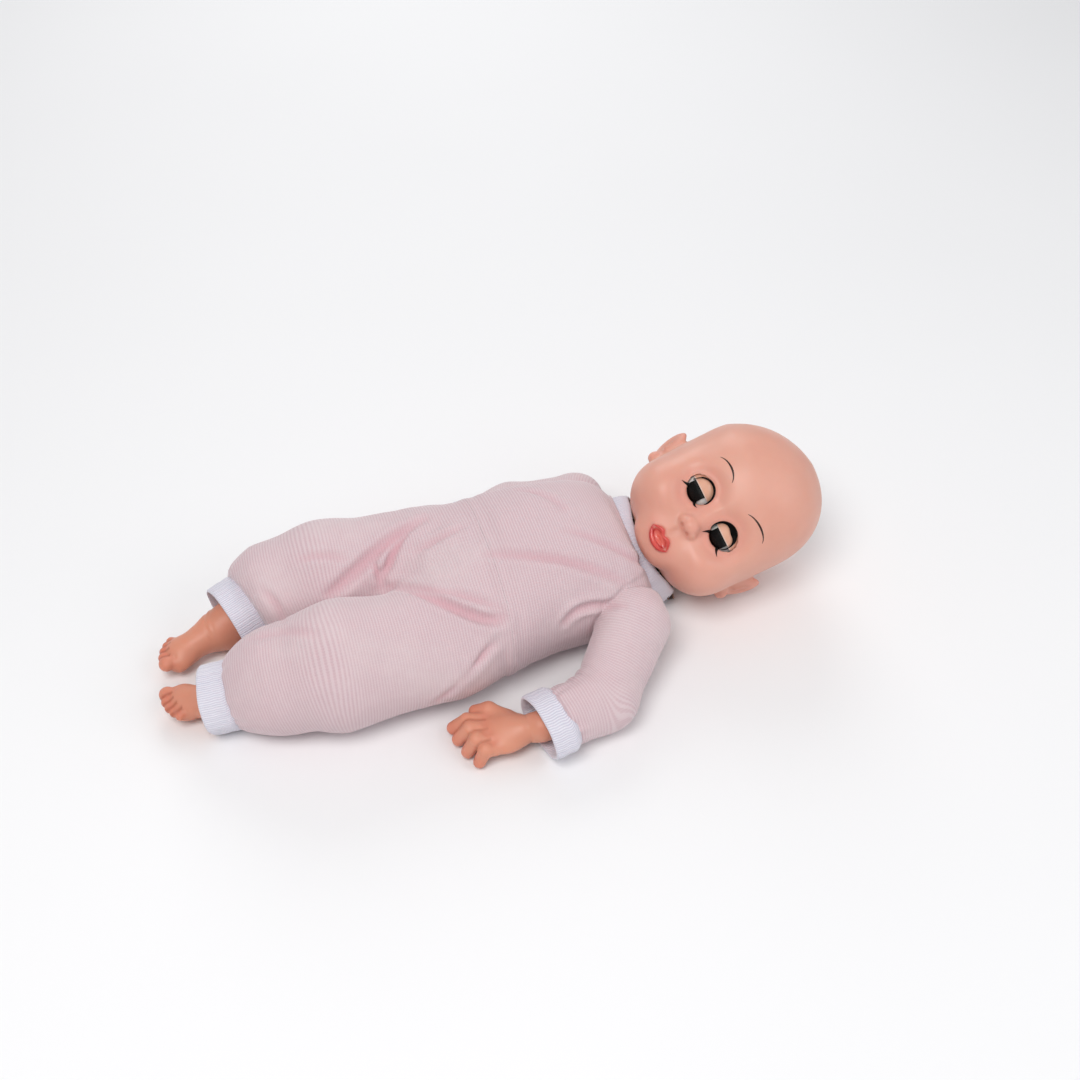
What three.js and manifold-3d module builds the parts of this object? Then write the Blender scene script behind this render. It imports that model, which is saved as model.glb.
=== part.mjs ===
// Soft-bodied baby doll with sleeping eyes and a press-to-sound voice box.
// Millimetres. +X runs from the feet to the head, +Y is the doll's right side, +Z is the doll's front.
// The doll lies on its back; z = 0 is the plane it rests on and the origin is under the middle of its back.
import * as THREE from "three";
import { mergeVertices } from "three/addons/utils/BufferGeometryUtils.js";
import Module from "manifold-3d";

const wasm = await Module();
wasm.setup();

// ---------------------------------------------------------------- driving dimensions
const GAP = 0.4; // clearance between touching pieces
const CLOTH = 1.5; // romper knit, with its hand
const VINYL = 2.8; // rotocast wall

const HEAD_CENTRE = [112.5, -0.2, 48.2];
const HEAD_UP = [0.9155, -0.054, 0.399]; // chin to crown
const HEAD_FORWARD = [-0.332, -0.663, 0.671]; // the way the face looks
const HEAD_HALF = { x: 38.8, front: 42, back: 44, z: 47.2, power: 2.7 };
const NECK_OFFSET = 3; // neck axis behind the head's centre
const NECK_DROP = 55; // head centre down to the neck flange

const EYE = { x: 13.4, y: -24.2, z: -8.7, ball: 10.6, skin: 10.9, skinOut: 11.4, open: 7.5 };
const EYE_WEIGHT_ANGLE = 30.9; // degrees below straight back

const NECK = { flange: 15.5, groove: 13, bore: 10, cup: 18.5 };
const COLLAR = { rIn: 27.3, rOut: 28.8, t0: -5, t1: 6 };

// romper bodice sections: x, half width, bottom, top, middle
const TRUNK = [
  [-20, 50.5, -1.5, 66.5, -4.5],
  [-10, 48, -2.5, 69.5, -3.2],
  [5, 45.4, -3, 70.5, -1.5],
  [20, 44.6, -3, 69.5, -0.5],
  [35, 44.4, -2.5, 66.5, 0],
  [46, 42.5, -1, 61.5, 0],
  [54, 38, 0.5, 56, 0],
  [60, 31.5, 1.5, 50, 0],
];
const TRUNK_POWER = 2.5;
const SIDE_PLANE = 45.2; // flat of the bodice's sides under the arms

const SHOULDER = { x: 44, z: 27, hole: 13.4, root: 11.6, y: 48 };
const ARMS = {
  left: { s: -1, elbow: [18, -80, 16.5], cuff: [-6, -85, 15.5], end: [-15, -86, 14.5], r0: 18, r1: 16, r2: 14.8, cuffWide: 1.28, cuffTall: 0.9 },
  right: { s: 1, elbow: [12, 61, 16.6], cuff: [-6, 64.6, 13.2], end: [-15, 66.2, 12.4], r0: 15.4, r1: 15, r2: 11.6, cuffWide: 1.04, cuffTall: 0.98 },
};
const ARM_JOINT = { flange: 9.2, groove: 7.2, cup: 11.2 };

const HIP = { x: -52, y: 29, z: 29.2, r: 28.6, mid: 13.5, clear: 30.6, centre: -4 };
const LEGS = {
  left: { s: -1, knee: [-102, -33.4, 30.2], cuff: [-154, -25.5, 17.8], end: [-0.97, 0.15, -0.19], r1: 29.8, r2: 17.6 },
  right: { s: 1, knee: [-97, 26.4, 29.2], cuff: [-137, 27, 19.8], end: [-0.92, -0.33, -0.17], r1: 28.4, r2: 20 },
};
const LEG_JOINT = { flange: 14, groove: 11.4, cup: 16.4 };

const VOICE = { x: 14, y: 0, z: 36, long: 56, wide: 40, tall: 21, wall: 1.6, corner: 8 };
const BUTTON_X = 15; // from the voice box centre, towards the head
const SPEAKER_X = -13;

// ---------------------------------------------------------------- solids
function solid(geometry) {
  const g0 = geometry.clone();
  for (const key of Object.keys(g0.attributes)) if (key !== "position") g0.deleteAttribute(key);
  const g = mergeVertices(g0, 1e-4);
  const raw = g.index.array;
  const tri = [];
  for (let i = 0; i < raw.length; i += 3)
    if (raw[i] !== raw[i + 1] && raw[i + 1] !== raw[i + 2] && raw[i] !== raw[i + 2]) tri.push(raw[i], raw[i + 1], raw[i + 2]);
  const make = (t) =>
    new wasm.Manifold(new wasm.Mesh({ numProp: 3, vertProperties: new Float32Array(g.attributes.position.array), triVerts: new Uint32Array(t) }));
  const m = make(tri);
  if (m.volume() >= 0) return m;
  for (let i = 0; i < tri.length; i += 3) [tri[i + 1], tri[i + 2]] = [tri[i + 2], tri[i + 1]];
  return make(tri);
}
const join = (...m) => m.reduce((a, b) => a.add(b));
const cut = (a, ...m) => m.reduce((r, b) => r.subtract(b), a);

const v3 = (a) => new THREE.Vector3(a[0], a[1], a[2]);
const at = (a, b, t) => [a[0] + (b[0] - a[0]) * t, a[1] + (b[1] - a[1]) * t, a[2] + (b[2] - a[2]) * t];
const along = (p, d, t) => [p[0] + d[0] * t, p[1] + d[1] * t, p[2] + d[2] * t];
const unit = (a, b) => { const d = v3(b).sub(v3(a)).normalize(); return [d.x, d.y, d.z]; };

// A frame whose Z runs along a direction, with its X kept level.
function axisFrame(origin, direction) {
  const z = v3(direction).normalize();
  let x = new THREE.Vector3(0, 0, 1).cross(z);
  if (x.length() < 1e-6) x = new THREE.Vector3(1, 0, 0);
  x.normalize();
  const y = z.clone().cross(x);
  return new THREE.Matrix4().makeBasis(x, y, z).setPosition(v3(origin));
}

// A profile of [radius, height] pairs turned about the frame's Z.
function turned(profile, frame, segments = 20, sx = 1, sy = 1) {
  const g = new THREE.LatheGeometry(profile.map(([r, h]) => new THREE.Vector2(r, h)), segments);
  g.rotateX(Math.PI / 2);
  g.scale(sx, sy, 1);
  g.applyMatrix4(frame);
  return solid(g);
}
const tubeProfile = (r0, r1, t0, t1) => [[r0, t0], [r1, t0], [r1, t1], [r0, t1], [r0, t0]];
const rodProfile = (r, t0, t1) => [[0, t0], [r, t0], [r, t1], [0, t1]];

// A round bar with ball ends whose radius changes from one end to the other.
function taper(a, ra, b, rb, segments = 14, rings = 3, sx = 1, sy = 1) {
  const length = v3(b).distanceTo(v3(a));
  const slope = Math.asin(Math.max(-0.95, Math.min(0.95, (ra - rb) / length)));
  const profile = [];
  for (let i = 0; i <= rings; i++) {
    const t = -Math.PI / 2 + ((slope + Math.PI / 2) * i) / rings;
    profile.push([i === 0 ? 0 : ra * Math.cos(t), ra * Math.sin(t)]);
  }
  for (let i = 0; i <= rings; i++) {
    const t = slope + ((Math.PI / 2 - slope) * i) / rings;
    profile.push([i === rings ? 0 : rb * Math.cos(t), length + rb * Math.sin(t)]);
  }
  return turned(profile, axisFrame(a, unit(a, b)), segments, sx, sy);
}

function ball(centre, radii, w = 20, h = 14, frame = null) {
  const g = new THREE.SphereGeometry(1, w, h);
  g.scale(radii[0], radii[1], radii[2]);
  g.translate(centre[0], centre[1], centre[2]);
  if (frame) g.applyMatrix4(frame);
  return solid(g);
}

function block(centre, size, frame = null) {
  const g = new THREE.BoxGeometry(size[0], size[1], size[2]);
  g.translate(centre[0], centre[1], centre[2]);
  if (frame) g.applyMatrix4(frame);
  return solid(g);
}

// Everything past a plane, as a large block.
const beyond = (point, normal) => block([0, 0, 250], [500, 500, 500], axisFrame(point, normal));
const below = (z) => block([0, 0, z - 250], [900, 900, 500]);

// A cylinder along Y between two values of y.
const yCylinder = (x, z, r, y0, y1, segments = 24) => turned(rodProfile(r, Math.min(y0, y1), Math.max(y0, y1)), axisFrameY(x, z), segments);
function axisFrameY(x, z) {
  return new THREE.Matrix4().makeBasis(new THREE.Vector3(0, 0, 1), new THREE.Vector3(1, 0, 0), new THREE.Vector3(0, 1, 0)).setPosition(x, 0, z);
}

// The trunk's outline, moved in by an inset: a closed turned form whose rings become rounded boxes.
function trunk(inset, x0, x1, segments = 20) {
  const xs = [x0, ...TRUNK.map((s) => s[0]).filter((x) => x > x0 + 1 && x < x1 - 1), x1];
  const g = new THREE.LatheGeometry([new THREE.Vector2(0, x0), ...xs.map((x) => new THREE.Vector2(1, x)), new THREE.Vector2(0, x1)], segments);
  const p = g.attributes.position;
  for (let i = 0; i < p.count; i++) {
    const x = p.getY(i), r = Math.hypot(p.getX(i), p.getZ(i)), phi = Math.atan2(p.getZ(i), p.getX(i));
    let k = 0;
    while (k < TRUNK.length - 2 && x > TRUNK[k + 1][0]) k++;
    const A = TRUNK[k], B = TRUNK[k + 1];
    const t = Math.max(0, Math.min(1, (x - A[0]) / (B[0] - A[0])));
    const middle = A[4] + (B[4] - A[4]) * t, half = A[1] + (B[1] - A[1]) * t - inset, low = A[2] + (B[2] - A[2]) * t + inset, top = A[3] + (B[3] - A[3]) * t - inset;
    const c = Math.cos(phi), s = Math.sin(phi), e = 2 / TRUNK_POWER;
    p.setXYZ(i, x, middle + r * half * Math.sign(c) * Math.abs(c) ** e, (low + top) / 2 + (r * (top - low)) / 2 * Math.sign(s) * Math.abs(s) ** e);
  }
  return solid(g);
}

// The head's skin, moved in by an inset, in the head's frame: X to the doll's left, -Y the way the face looks, Z to the crown.
function headForm(inset, w, h) {
  const g = new THREE.SphereGeometry(1, w, h);
  g.rotateX(Math.PI / 2);
  const p = g.attributes.position;
  const n = HEAD_HALF.power;
  for (let i = 0; i < p.count; i++) {
    const x = p.getX(i), y = p.getY(i), z = p.getZ(i);
    const a = HEAD_HALF.x - inset, b = (y < 0 ? HEAD_HALF.front : HEAD_HALF.back) - inset, c = HEAD_HALF.z - inset;
    const k = (Math.abs(x / a) ** n + Math.abs(y / b) ** n + Math.abs(z / c) ** n) ** (-1 / n);
    p.setXYZ(i, x * k, y * k, z * k);
  }
  return g;
}

// A patch of a sphere's skin between two angles above the horizon, facing -Y, within a half width.
function eyePatch(centre, r0, r1, low, high, halfWidth, frame) {
  const shell = cut(ball(centre, [r1, r1, r1], 14, 10, frame), ball(centre, [r0, r0, r0], 14, 10, frame));
  const rad = Math.PI / 180;
  const R = 30;
  const shape = new THREE.Shape([new THREE.Vector2(0, 0)]);
  const steps = 5;
  for (let i = 0; i <= steps; i++) {
    const a = (low + ((high - low) * i) / steps) * rad;
    shape.lineTo(-R * Math.cos(a), R * Math.sin(a));
  }
  shape.closePath();
  const wedge = new THREE.ExtrudeGeometry(shape, { depth: 2 * halfWidth, bevelEnabled: false });
  // the outline's plane (y, z) stands across X
  wedge.applyMatrix4(new THREE.Matrix4().makeBasis(new THREE.Vector3(0, 1, 0), new THREE.Vector3(0, 0, 1), new THREE.Vector3(1, 0, 0)));
  wedge.translate(centre[0] - halfWidth, centre[1], centre[2]);
  wedge.applyMatrix4(frame);
  return shell.intersect(solid(wedge));
}

// ---------------------------------------------------------------- the scene
const group = new THREE.Group();
function node(name, manifold, color, roughness = 0.8, metalness = 0) {
  const m = manifold.getMesh();
  const g = new THREE.BufferGeometry();
  g.setAttribute("position", new THREE.BufferAttribute(new Float32Array(m.vertProperties), 3));
  g.setIndex(new THREE.BufferAttribute(new Uint32Array(m.triVerts), 1));
  g.computeVertexNormals();
  const mesh = new THREE.Mesh(g, new THREE.MeshStandardMaterial({ color, roughness, metalness, name }));
  mesh.name = name;
  group.add(mesh);
  return manifold;
}
const PINK = 0xebcfd2, RIB = 0xe1dfec, SKIN = 0xe4a591, COTTON = 0xd9cfc4, BROWN = 0x2c1a12, NYLON = 0xf0f0ee, BLACK = 0x0c0a0a;

// ---------------------------------------------------------------- head frame
const U = v3(HEAD_UP).normalize();
const F = v3(HEAD_FORWARD);
F.addScaledVector(U, -F.dot(U)).normalize();
const L = U.clone().cross(F); // to the doll's left
L.negate();
if (L.y > 0) L.negate();
const headFrame = new THREE.Matrix4().makeBasis(L, F.clone().negate(), U).setPosition(v3(HEAD_CENTRE));
const headPoint = (x, y, z) => { const p = new THREE.Vector3(x, y, z).applyMatrix4(headFrame); return [p.x, p.y, p.z]; };
const neckBase = headPoint(0, NECK_OFFSET, -NECK_DROP);
const neckFrame = new THREE.Matrix4().makeBasis(L, F.clone().negate(), U).setPosition(v3(neckBase));

// ---------------------------------------------------------------- head
{
  const eyes = [EYE.x, -EYE.x];
  const skin = solid(headForm(0, 20, 14).applyMatrix4(headFrame));
  const inner = solid(headForm(VINYL, 14, 11).applyMatrix4(headFrame));
  const features = [
    ball([0.6, -41.4, -20.6], [4.2, 4.2, 3.6], 8, 6, headFrame), // nose
    ball([0, -33.5, -38.6], [8, 5, 5], 10, 6, headFrame), // lips
    
    ball([38.6, 6, -14], [5.6, 6.4, 11], 8, 6, headFrame), // left ear
    ball([-38.6, 6, -14], [5.6, 6.4, 11], 8, 6, headFrame), // right ear
  ];
  const stub = turned([[0, 0.6], [NECK.flange, 0.6], [NECK.flange, 3.6], [NECK.groove, 4], [NECK.groove, 7.8], [NECK.groove + 4, 12], [NECK.groove + 4, 16], [0, 16]], neckFrame, 20);
  const bore = turned(rodProfile(NECK.bore, -2, 24), neckFrame, 16);
  let head = cut(join(skin, ...features, stub), inner, bore, below(0.1));
  for (const x of eyes) head = cut(head, turned(rodProfile(EYE.open, 0, 40), new THREE.Matrix4().multiplyMatrices(headFrame, axisFrame([x, EYE.y - 4, EYE.z], [0, -1, 0])), 20));
  node("head_shell", head, SKIN, 0.45);
}

// ---------------------------------------------------------------- sleeping eyes
for (const [side, x] of [["left", EYE.x], ["right", -EYE.x]]) {
  const c = [x, EYE.y, EYE.z];
  const rad = (EYE_WEIGHT_ANGLE * Math.PI) / 180;
  const back = [0, Math.cos(rad), -Math.sin(rad)];
  const across = (r, t0, t1) => turned(rodProfile(r, t0, t1), new THREE.Matrix4().multiplyMatrices(headFrame, axisFrame(c, [1, 0, 0])), 8);
  const eyeAxis = new THREE.Matrix4().multiplyMatrices(headFrame, axisFrame(c, back));
  // socket cup, open to the front, with a slot behind for the counterweight's arm
  const cup = cut(
    ball(c, [13.1, 13.1, 13.1], 12, 8, headFrame),
    ball(c, [12.1, 12.1, 12.1], 12, 8, headFrame),
    block([c[0], c[1] - 20 - 1.4, c[2]], [40, 40, 40], headFrame),
    block([c[0], c[1] + 12, c[2] - 6], [8.6, 20, 24], headFrame),
    across(1.3, -14, 14),
  );
  node("eye_socket_" + side, cup, 0xf2ede6, 0.5);
  const eyeball = cut(
    ball(c, [EYE.ball, EYE.ball, EYE.ball], 12, 8, headFrame),
    across(1.2, -14, 14),
    turned(rodProfile(1.6, 3, 14), eyeAxis, 8),
  );
  node("eyeball_" + side, eyeball, 0xf4f1ec, 0.2);
  node("eye_axle_" + side, across(0.85, -12.7, 12.7), 0xb9bcc0, 0.3, 1);
  const weight = turned([[0, 3.4], [1.2, 3.4], [1.2, 15.2], [4.2, 15.2], [4.2, 21.5], [0, 21.5]], eyeAxis, 10);
  node("eye_weight_" + side, weight, 0x8d9094, 0.4, 1);
  node("eyelid_" + side, eyePatch(c, EYE.skin, EYE.skinOut, 3, 100, 9.3, headFrame), 0xe9b196, 0.5);
  node("eyelashes_" + side, eyePatch(c, EYE.skin, EYE.skinOut, -34, 1.2, 6.2, headFrame), BLACK, 0.35);
  const iris = eyePatch(c, EYE.skin, EYE.skinOut - 0.2, -62, -37, 6.0, headFrame);
  node("iris_" + side, iris, 0x3a5a8c, 0.1);
}

// ---------------------------------------------------------------- neck and collar
{
  const n = NECK;
  node(
    "neck_casing",
    cut(
      join(
        turned([[0, -n.cup], [n.cup * 0.35, -n.cup * 0.937], [n.cup * 0.66, -n.cup * 0.751], [n.cup * 0.88, -n.cup * 0.475], [n.cup * 0.985, -n.cup * 0.17], [n.cup, 0], [n.cup - 0.6, 3.6], [n.groove + 2.4, 4.6], [n.groove + 2.4, 7.6], [0, 7.6]], neckFrame, 20),
      ),
      turned([[0, -1.5], [n.flange + GAP, -1.5], [n.flange + GAP, 4], [n.groove + GAP, 4.2], [n.groove + GAP, 9], [0, 9]], neckFrame, 20),
    ),
    BROWN, 0.9,
  );
  node(
    "neck_tie",
    join(
      turned(tubeProfile(n.groove + 2.8, n.groove + 4.0, 4.9, 7.3), neckFrame, 20),
      block([0, n.groove + 5.2, 6.1], [5, 3.4, 3.6], neckFrame),
    ),
    NYLON, 0.5,
  );
  node("collar", cut(turned(tubeProfile(COLLAR.rIn, COLLAR.rOut, COLLAR.t0, COLLAR.t1), neckFrame, 24), below(0.6)), RIB, 0.9);
}

// ---------------------------------------------------------------- trunk and romper bodice
const neckClear = turned(rodProfile(COLLAR.rOut + GAP, COLLAR.t0 - GAP, 60), neckFrame, 24);
const sidePlanes = (y) => [block([0, y + 100, 0], [300, 200, 300]), block([0, -y - 100, 0], [300, 200, 300])];
{
  let bodice = cut(trunk(0, -20, 60), below(0), ...sidePlanes(SIDE_PLANE).map((b) => b.subtract(beyond([8, 0, 0], [-1, 0, 0]))));
  bodice = cut(bodice, cut(trunk(CLOTH, -30, 66), below(CLOTH), ...sidePlanes(SIDE_PLANE - CLOTH).map((b) => b.subtract(beyond([7, 0, 0], [-1, 0, 0])))), neckClear);
  bodice = cut(bodice, yCylinder(SHOULDER.x, SHOULDER.z, SHOULDER.hole, -60, 60), ball(neckBase, [NECK.cup + 1.2, NECK.cup + 1.2, NECK.cup + 1.2], 14, 10));
  node("romper_bodice", bodice, PINK, 0.95);

  const i = CLOTH + GAP;
  let body = cut(trunk(i, -20.4, 58), below(i), ...sidePlanes(SIDE_PLANE - i).map((b) => b.subtract(beyond([6.5, 0, 0], [-1, 0, 0]))));
  body = join(
    body,
    yCylinder(HIP.x, HIP.z, 27.8, HIP.centre - HIP.mid + 1, HIP.centre + HIP.mid - 1, 20),
    block([-28, HIP.centre, 21], [32, 2 * (HIP.mid - 1), 34]),
  );
  body = cut(body, neckClear, ball(neckBase, [NECK.cup + 0.9, NECK.cup + 0.9, NECK.cup + 0.9], 14, 10));
  for (const s of [1, -1]) body = cut(body, yCylinder(SHOULDER.x, SHOULDER.z, SHOULDER.root + GAP, s * 36.6, s * 60));
  const pocket = roundedSlab(VOICE.long + 2 * GAP + 0.4, VOICE.wide + 2 * GAP + 0.4, VOICE.corner, 1, VOICE.z + VOICE.tall / 2 + 3.8).translate([VOICE.x, 0, 0]);
  body = cut(body, pocket);
  node("cloth_trunk", body, COTTON, 0.95);
  node("stuffing_wad", roundedSlab(VOICE.long - 1, VOICE.wide - 1, VOICE.corner, 4.4, VOICE.z - VOICE.tall / 2 - 1.6).translate([VOICE.x, 0, 0]), 0xf3f1ea, 0.95);
  node("loop_tape", block([VOICE.x, 0, 2.3], [50, 14, 0.8]), NYLON, 0.95);
  node("hook_tape", block([VOICE.x, 0, 3.5], [50, 12, 0.8]), NYLON, 0.8);
}

// the strip of the romper's seat between the legs
{
  const seat = cut(
    yCylinder(HIP.x, HIP.z, 29.7, HIP.centre - HIP.mid + 0.6, HIP.centre + HIP.mid - 0.6, 24),
    yCylinder(HIP.x, HIP.z, 28.2, -40, 40, 24),
    below(0.2),
    block([HIP.x + 50, 0, HIP.z - 20], [60, 60, 88]),
    block([HIP.x + 24, 0, HIP.z + 8], [30, 60, 80]),
  );
  node("romper_seat", seat, PINK, 0.95);
}

// A slab with rounded corners between two heights.
function roundedSlab(long, wide, corner, z0, z1, holes = []) {
  const s = roundedShape(long, wide, corner);
  for (const [x, y, r] of holes) {
    const n = r > 4 ? 20 : 5;
    const ring = [];
    for (let i = 0; i < n; i++) ring.push(new THREE.Vector2(x + r * Math.cos((-2 * Math.PI * i) / n), y + r * Math.sin((-2 * Math.PI * i) / n)));
    s.holes.push(new THREE.Path(ring));
  }
  const g = new THREE.ExtrudeGeometry(s, { depth: z1 - z0, bevelEnabled: false, curveSegments: 3 });
  g.translate(0, 0, z0);
  return solid(g);
}
function roundedShape(long, wide, corner) {
  const a = long / 2, b = wide / 2, r = corner;
  const s = new THREE.Shape();
  s.moveTo(-a + r, -b);
  s.lineTo(a - r, -b);
  s.absarc(a - r, -b + r, r, -Math.PI / 2, 0, false);
  s.lineTo(a, b - r);
  s.absarc(a - r, b - r, r, 0, Math.PI / 2, false);
  s.lineTo(-a + r, b);
  s.absarc(-a + r, b - r, r, Math.PI / 2, Math.PI, false);
  s.lineTo(-a, -b + r);
  s.absarc(-a + r, -b + r, r, Math.PI, Math.PI * 1.5, false);
  return s;
}

// ---------------------------------------------------------------- voice box, in its own frame: Z to the doll's front
{
  const { long, wide, tall, wall, corner } = VOICE;
  const place = (m) => m.translate([VOICE.x, VOICE.y, VOICE.z]);
  const h = tall / 2, split = 0.5;
  const upright = (x, y) => axisFrame([x, y, 0], [0, 0, 1]);
  const grille = [[SPEAKER_X, 0, 1.5]];
  for (let i = 0; i < 6; i++) grille.push([SPEAKER_X + 5.5 * Math.cos((i * Math.PI) / 3), 5.5 * Math.sin((i * Math.PI) / 3), 1.5]);
  const posts = [[-23, -15], [23, 15]];
  // front case: grille over the speaker, round window for the button
  let front = cut(
    roundedSlab(long, wide, corner, split, h, [...grille, [BUTTON_X, 0, 9.6]]),
    roundedSlab(long - 2 * wall, wide - 2 * wall, corner - wall, -20, h - wall),
  );
  for (const [x, y] of posts) front = join(front, turned(tubeProfile(0.9, 2.6, split, h - wall + 0.2), upright(x, y), 10));
  node("voice_box_front", place(front), 0xe9e6df, 0.55);
  // back case with battery bay
  let back = cut(
    roundedSlab(long, wide, corner, -h, split - 0.35),
    roundedSlab(long - 2 * wall, wide - 2 * wall, corner - wall, -h + wall, 20),
  );
  back = join(back, roundedSlab(22, 30, 3, -h + wall - 0.2, -2.6).translate([-8, 0, 0]));
  back = cut(back, roundedSlab(19, 27.2, 2, -h - 1, -3.6).translate([-8, 0, 0]), turned(rodProfile(1.0, -20, -6), upright(6.4, 0), 12));
  for (const [x, y] of posts) back = cut(join(back, turned(rodProfile(2.6, -h + wall - 0.2, split - 0.6), upright(x, y), 10)), turned(rodProfile(1.35, -20, 5), upright(x, y), 10), turned(rodProfile(2.4, -20, -h + 2.4), upright(x, y), 10));
  back = cut(back, block([-5.2, 0, -h + 0.35], [30, 29, 1.5]));
  node("voice_box_back", place(back), 0xe9e6df, 0.55);
  node("battery_cover", place(cut(block([-5.2, 0, -h + 0.25], [29, 28, 1.1]), turned(rodProfile(1.25, -20, 0), upright(6.4, 0), 12))), 0xe9e6df, 0.55);
  node("battery_cover_screw", place(turned([[0, -h - 1.3], [2.2, -h - 1.3], [2.2, -h - 0.6], [0.8, -h - 0.6], [0.8, -h + 3.4], [0, -h + 3.4]], upright(6.4, 0), 12)), 0xb9bcc0, 0.3, 1);
  posts.forEach(([x, y], i) =>
    node("case_screw_" + (i + 1), place(turned([[0, -h + 0.2], [2.1, -h + 0.2], [2.1, -h + 1.6], [0.85, -h + 2.8], [0.85, 5], [0, 5]], upright(x, y), 14)), 0xb9bcc0, 0.3, 1));
  // button cells side by side in the bay
  [-8.8, 0, 8.8].forEach((y, i) => node("button_cell_" + (i + 1), place(turned([[0, -8.6], [3.6, -8.6], [3.6, -7.8], [4.1, -7.6], [4.1, -4.2], [0, -4.2]], upright(-8, y), 14)), 0xc7c9cc, 0.25, 1));
  // board, switch, speaker
  node("circuit_board", place(cut(roundedSlab(50, 34, 5, -1.9, -0.4), ...posts.map(([x, y]) => turned(rodProfile(3.2, -5, 5), upright(x, y), 10)))), 0x1e6b3a, 0.5);
  node("tact_switch", place(join(block([BUTTON_X, 0, 1.4], [6, 6, 2.8]), turned(rodProfile(1.7, 2.6, 4.1), upright(BUTTON_X, 0), 12))), 0x2a2a2a, 0.5);
  node("speaker_frame", place(cut(turned([[0, 2.2], [7.5, 2.2], [9.8, 6.2], [12.5, 6.8], [12.5, 8.5], [0, 8.5]], upright(SPEAKER_X, 0), 20), turned([[0, 3.4], [5.6, 3.4], [10.6, 7.6], [10.8, 9], [0, 9]], upright(SPEAKER_X, 0), 20))), 0x55585c, 0.4, 0.6);
  node("speaker_magnet", place(turned(rodProfile(6.2, 0.1, 1.9), upright(SPEAKER_X, 0), 24)), 0x3a3b3d, 0.5, 0.6);
  // press button: a dome with a rim that the case holds captive
  node("press_button", place(turned([[0, 5.9], [3.2, 5.9], [3.2, 6.7], [10.6, 6.7], [10.6, 8.0], [9.0, 8.2], [9.0, 11.2], [7.4, 12.6], [0, 13.4]], upright(BUTTON_X, 0), 20)), 0xd23b3b, 0.4);
}

// ---------------------------------------------------------------- arms
for (const [side, a] of Object.entries(ARMS)) {
  const s = a.s;
  const shoulder = [SHOULDER.x, s * SHOULDER.y, SHOULDER.z];
  const dir = unit(a.elbow, a.end);
  const axis = axisFrame(a.elbow, dir);
  const j = ARM_JOINT;
  const outside = s > 0 ? beyond([0, SIDE_PLANE + GAP, 0], [0, -1, 0]) : beyond([0, -SIDE_PLANE - GAP, 0], [0, 1, 0]);
  // sleeve: shoulder to elbow to cuff
  const cuffDir = unit(a.elbow, a.cuff);
  const past = along(a.cuff, cuffDir, 6);
  const form = (k, tail) => join(taper(shoulder, a.r0 - k, a.elbow, a.r1 - k, 12, 2), taper(a.elbow, a.r1 - k, tail, a.r2 - k, 12, 2));
  let sleeve = cut(form(0, past), outside, below(0.2), beyond(a.cuff, cuffDir));
  sleeve = cut(sleeve, form(CLOTH, past), yCylinder(SHOULDER.x, SHOULDER.z, SHOULDER.hole, s * 40, s * 47));
  node("sleeve_" + side, sleeve, PINK, 0.95);
  const cuffFrame = axisFrame(a.cuff, cuffDir);
  node("sleeve_cuff_" + side, cut(turned(tubeProfile(a.r2 - CLOTH, a.r2, GAP, 12), cuffFrame, 18, a.cuffWide, a.cuffTall), below(0.3)), RIB, 0.9);
  // stuffed cloth upper arm that ends in a casing round the vinyl flange
  let upper = join(
    cut(taper([SHOULDER.x, s * 48.5, SHOULDER.z], SHOULDER.root, a.elbow, j.cup, 12, 2), outside),
    yCylinder(SHOULDER.x, SHOULDER.z, SHOULDER.root, s * 37, s * 48.5, 12),
    turned([[0, -6], [j.cup, -4], [j.cup, 3.4], [j.groove + 2.2, 4.6], [j.groove + 2.2, 7.4], [0, 7.4]], axis, 12),
  );
  upper = cut(upper, turned([[0, 0.2], [j.flange + GAP, 0.2], [j.flange + GAP, 4], [j.groove + GAP, 4.2], [j.groove + GAP, 30], [0, 30]], axis, 12), turned(tubeProfile(j.groove + 2.2, 40, 4.4, 40), axis, 12), turned(rodProfile(j.groove + 3, 7.4, 40), axis, 12));
  node("upper_arm_" + side, upper, COTTON, 0.95);
  node("arm_tie_" + side, turned(tubeProfile(j.groove + 2.5, j.groove + 3.6, 4.8, 7.2), axis, 12), NYLON, 0.5);
  // vinyl forearm and hand
  const reach = v3(a.end).distanceTo(v3(a.elbow));
  const bar = turned([[0, 0.6], [j.flange, 0.6], [j.flange, 3.6], [j.groove, 4], [j.groove, 7.9], [8.8, 10], [8.4, reach - 6], [7.2, reach], [6.0, reach + 4], [0, reach + 6]], axis, 12);
  const hand = handForm(side);
  node("forearm_" + side, cut(join(bar, ...hand), below(0.4)), SKIN, 0.45);
}

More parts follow.
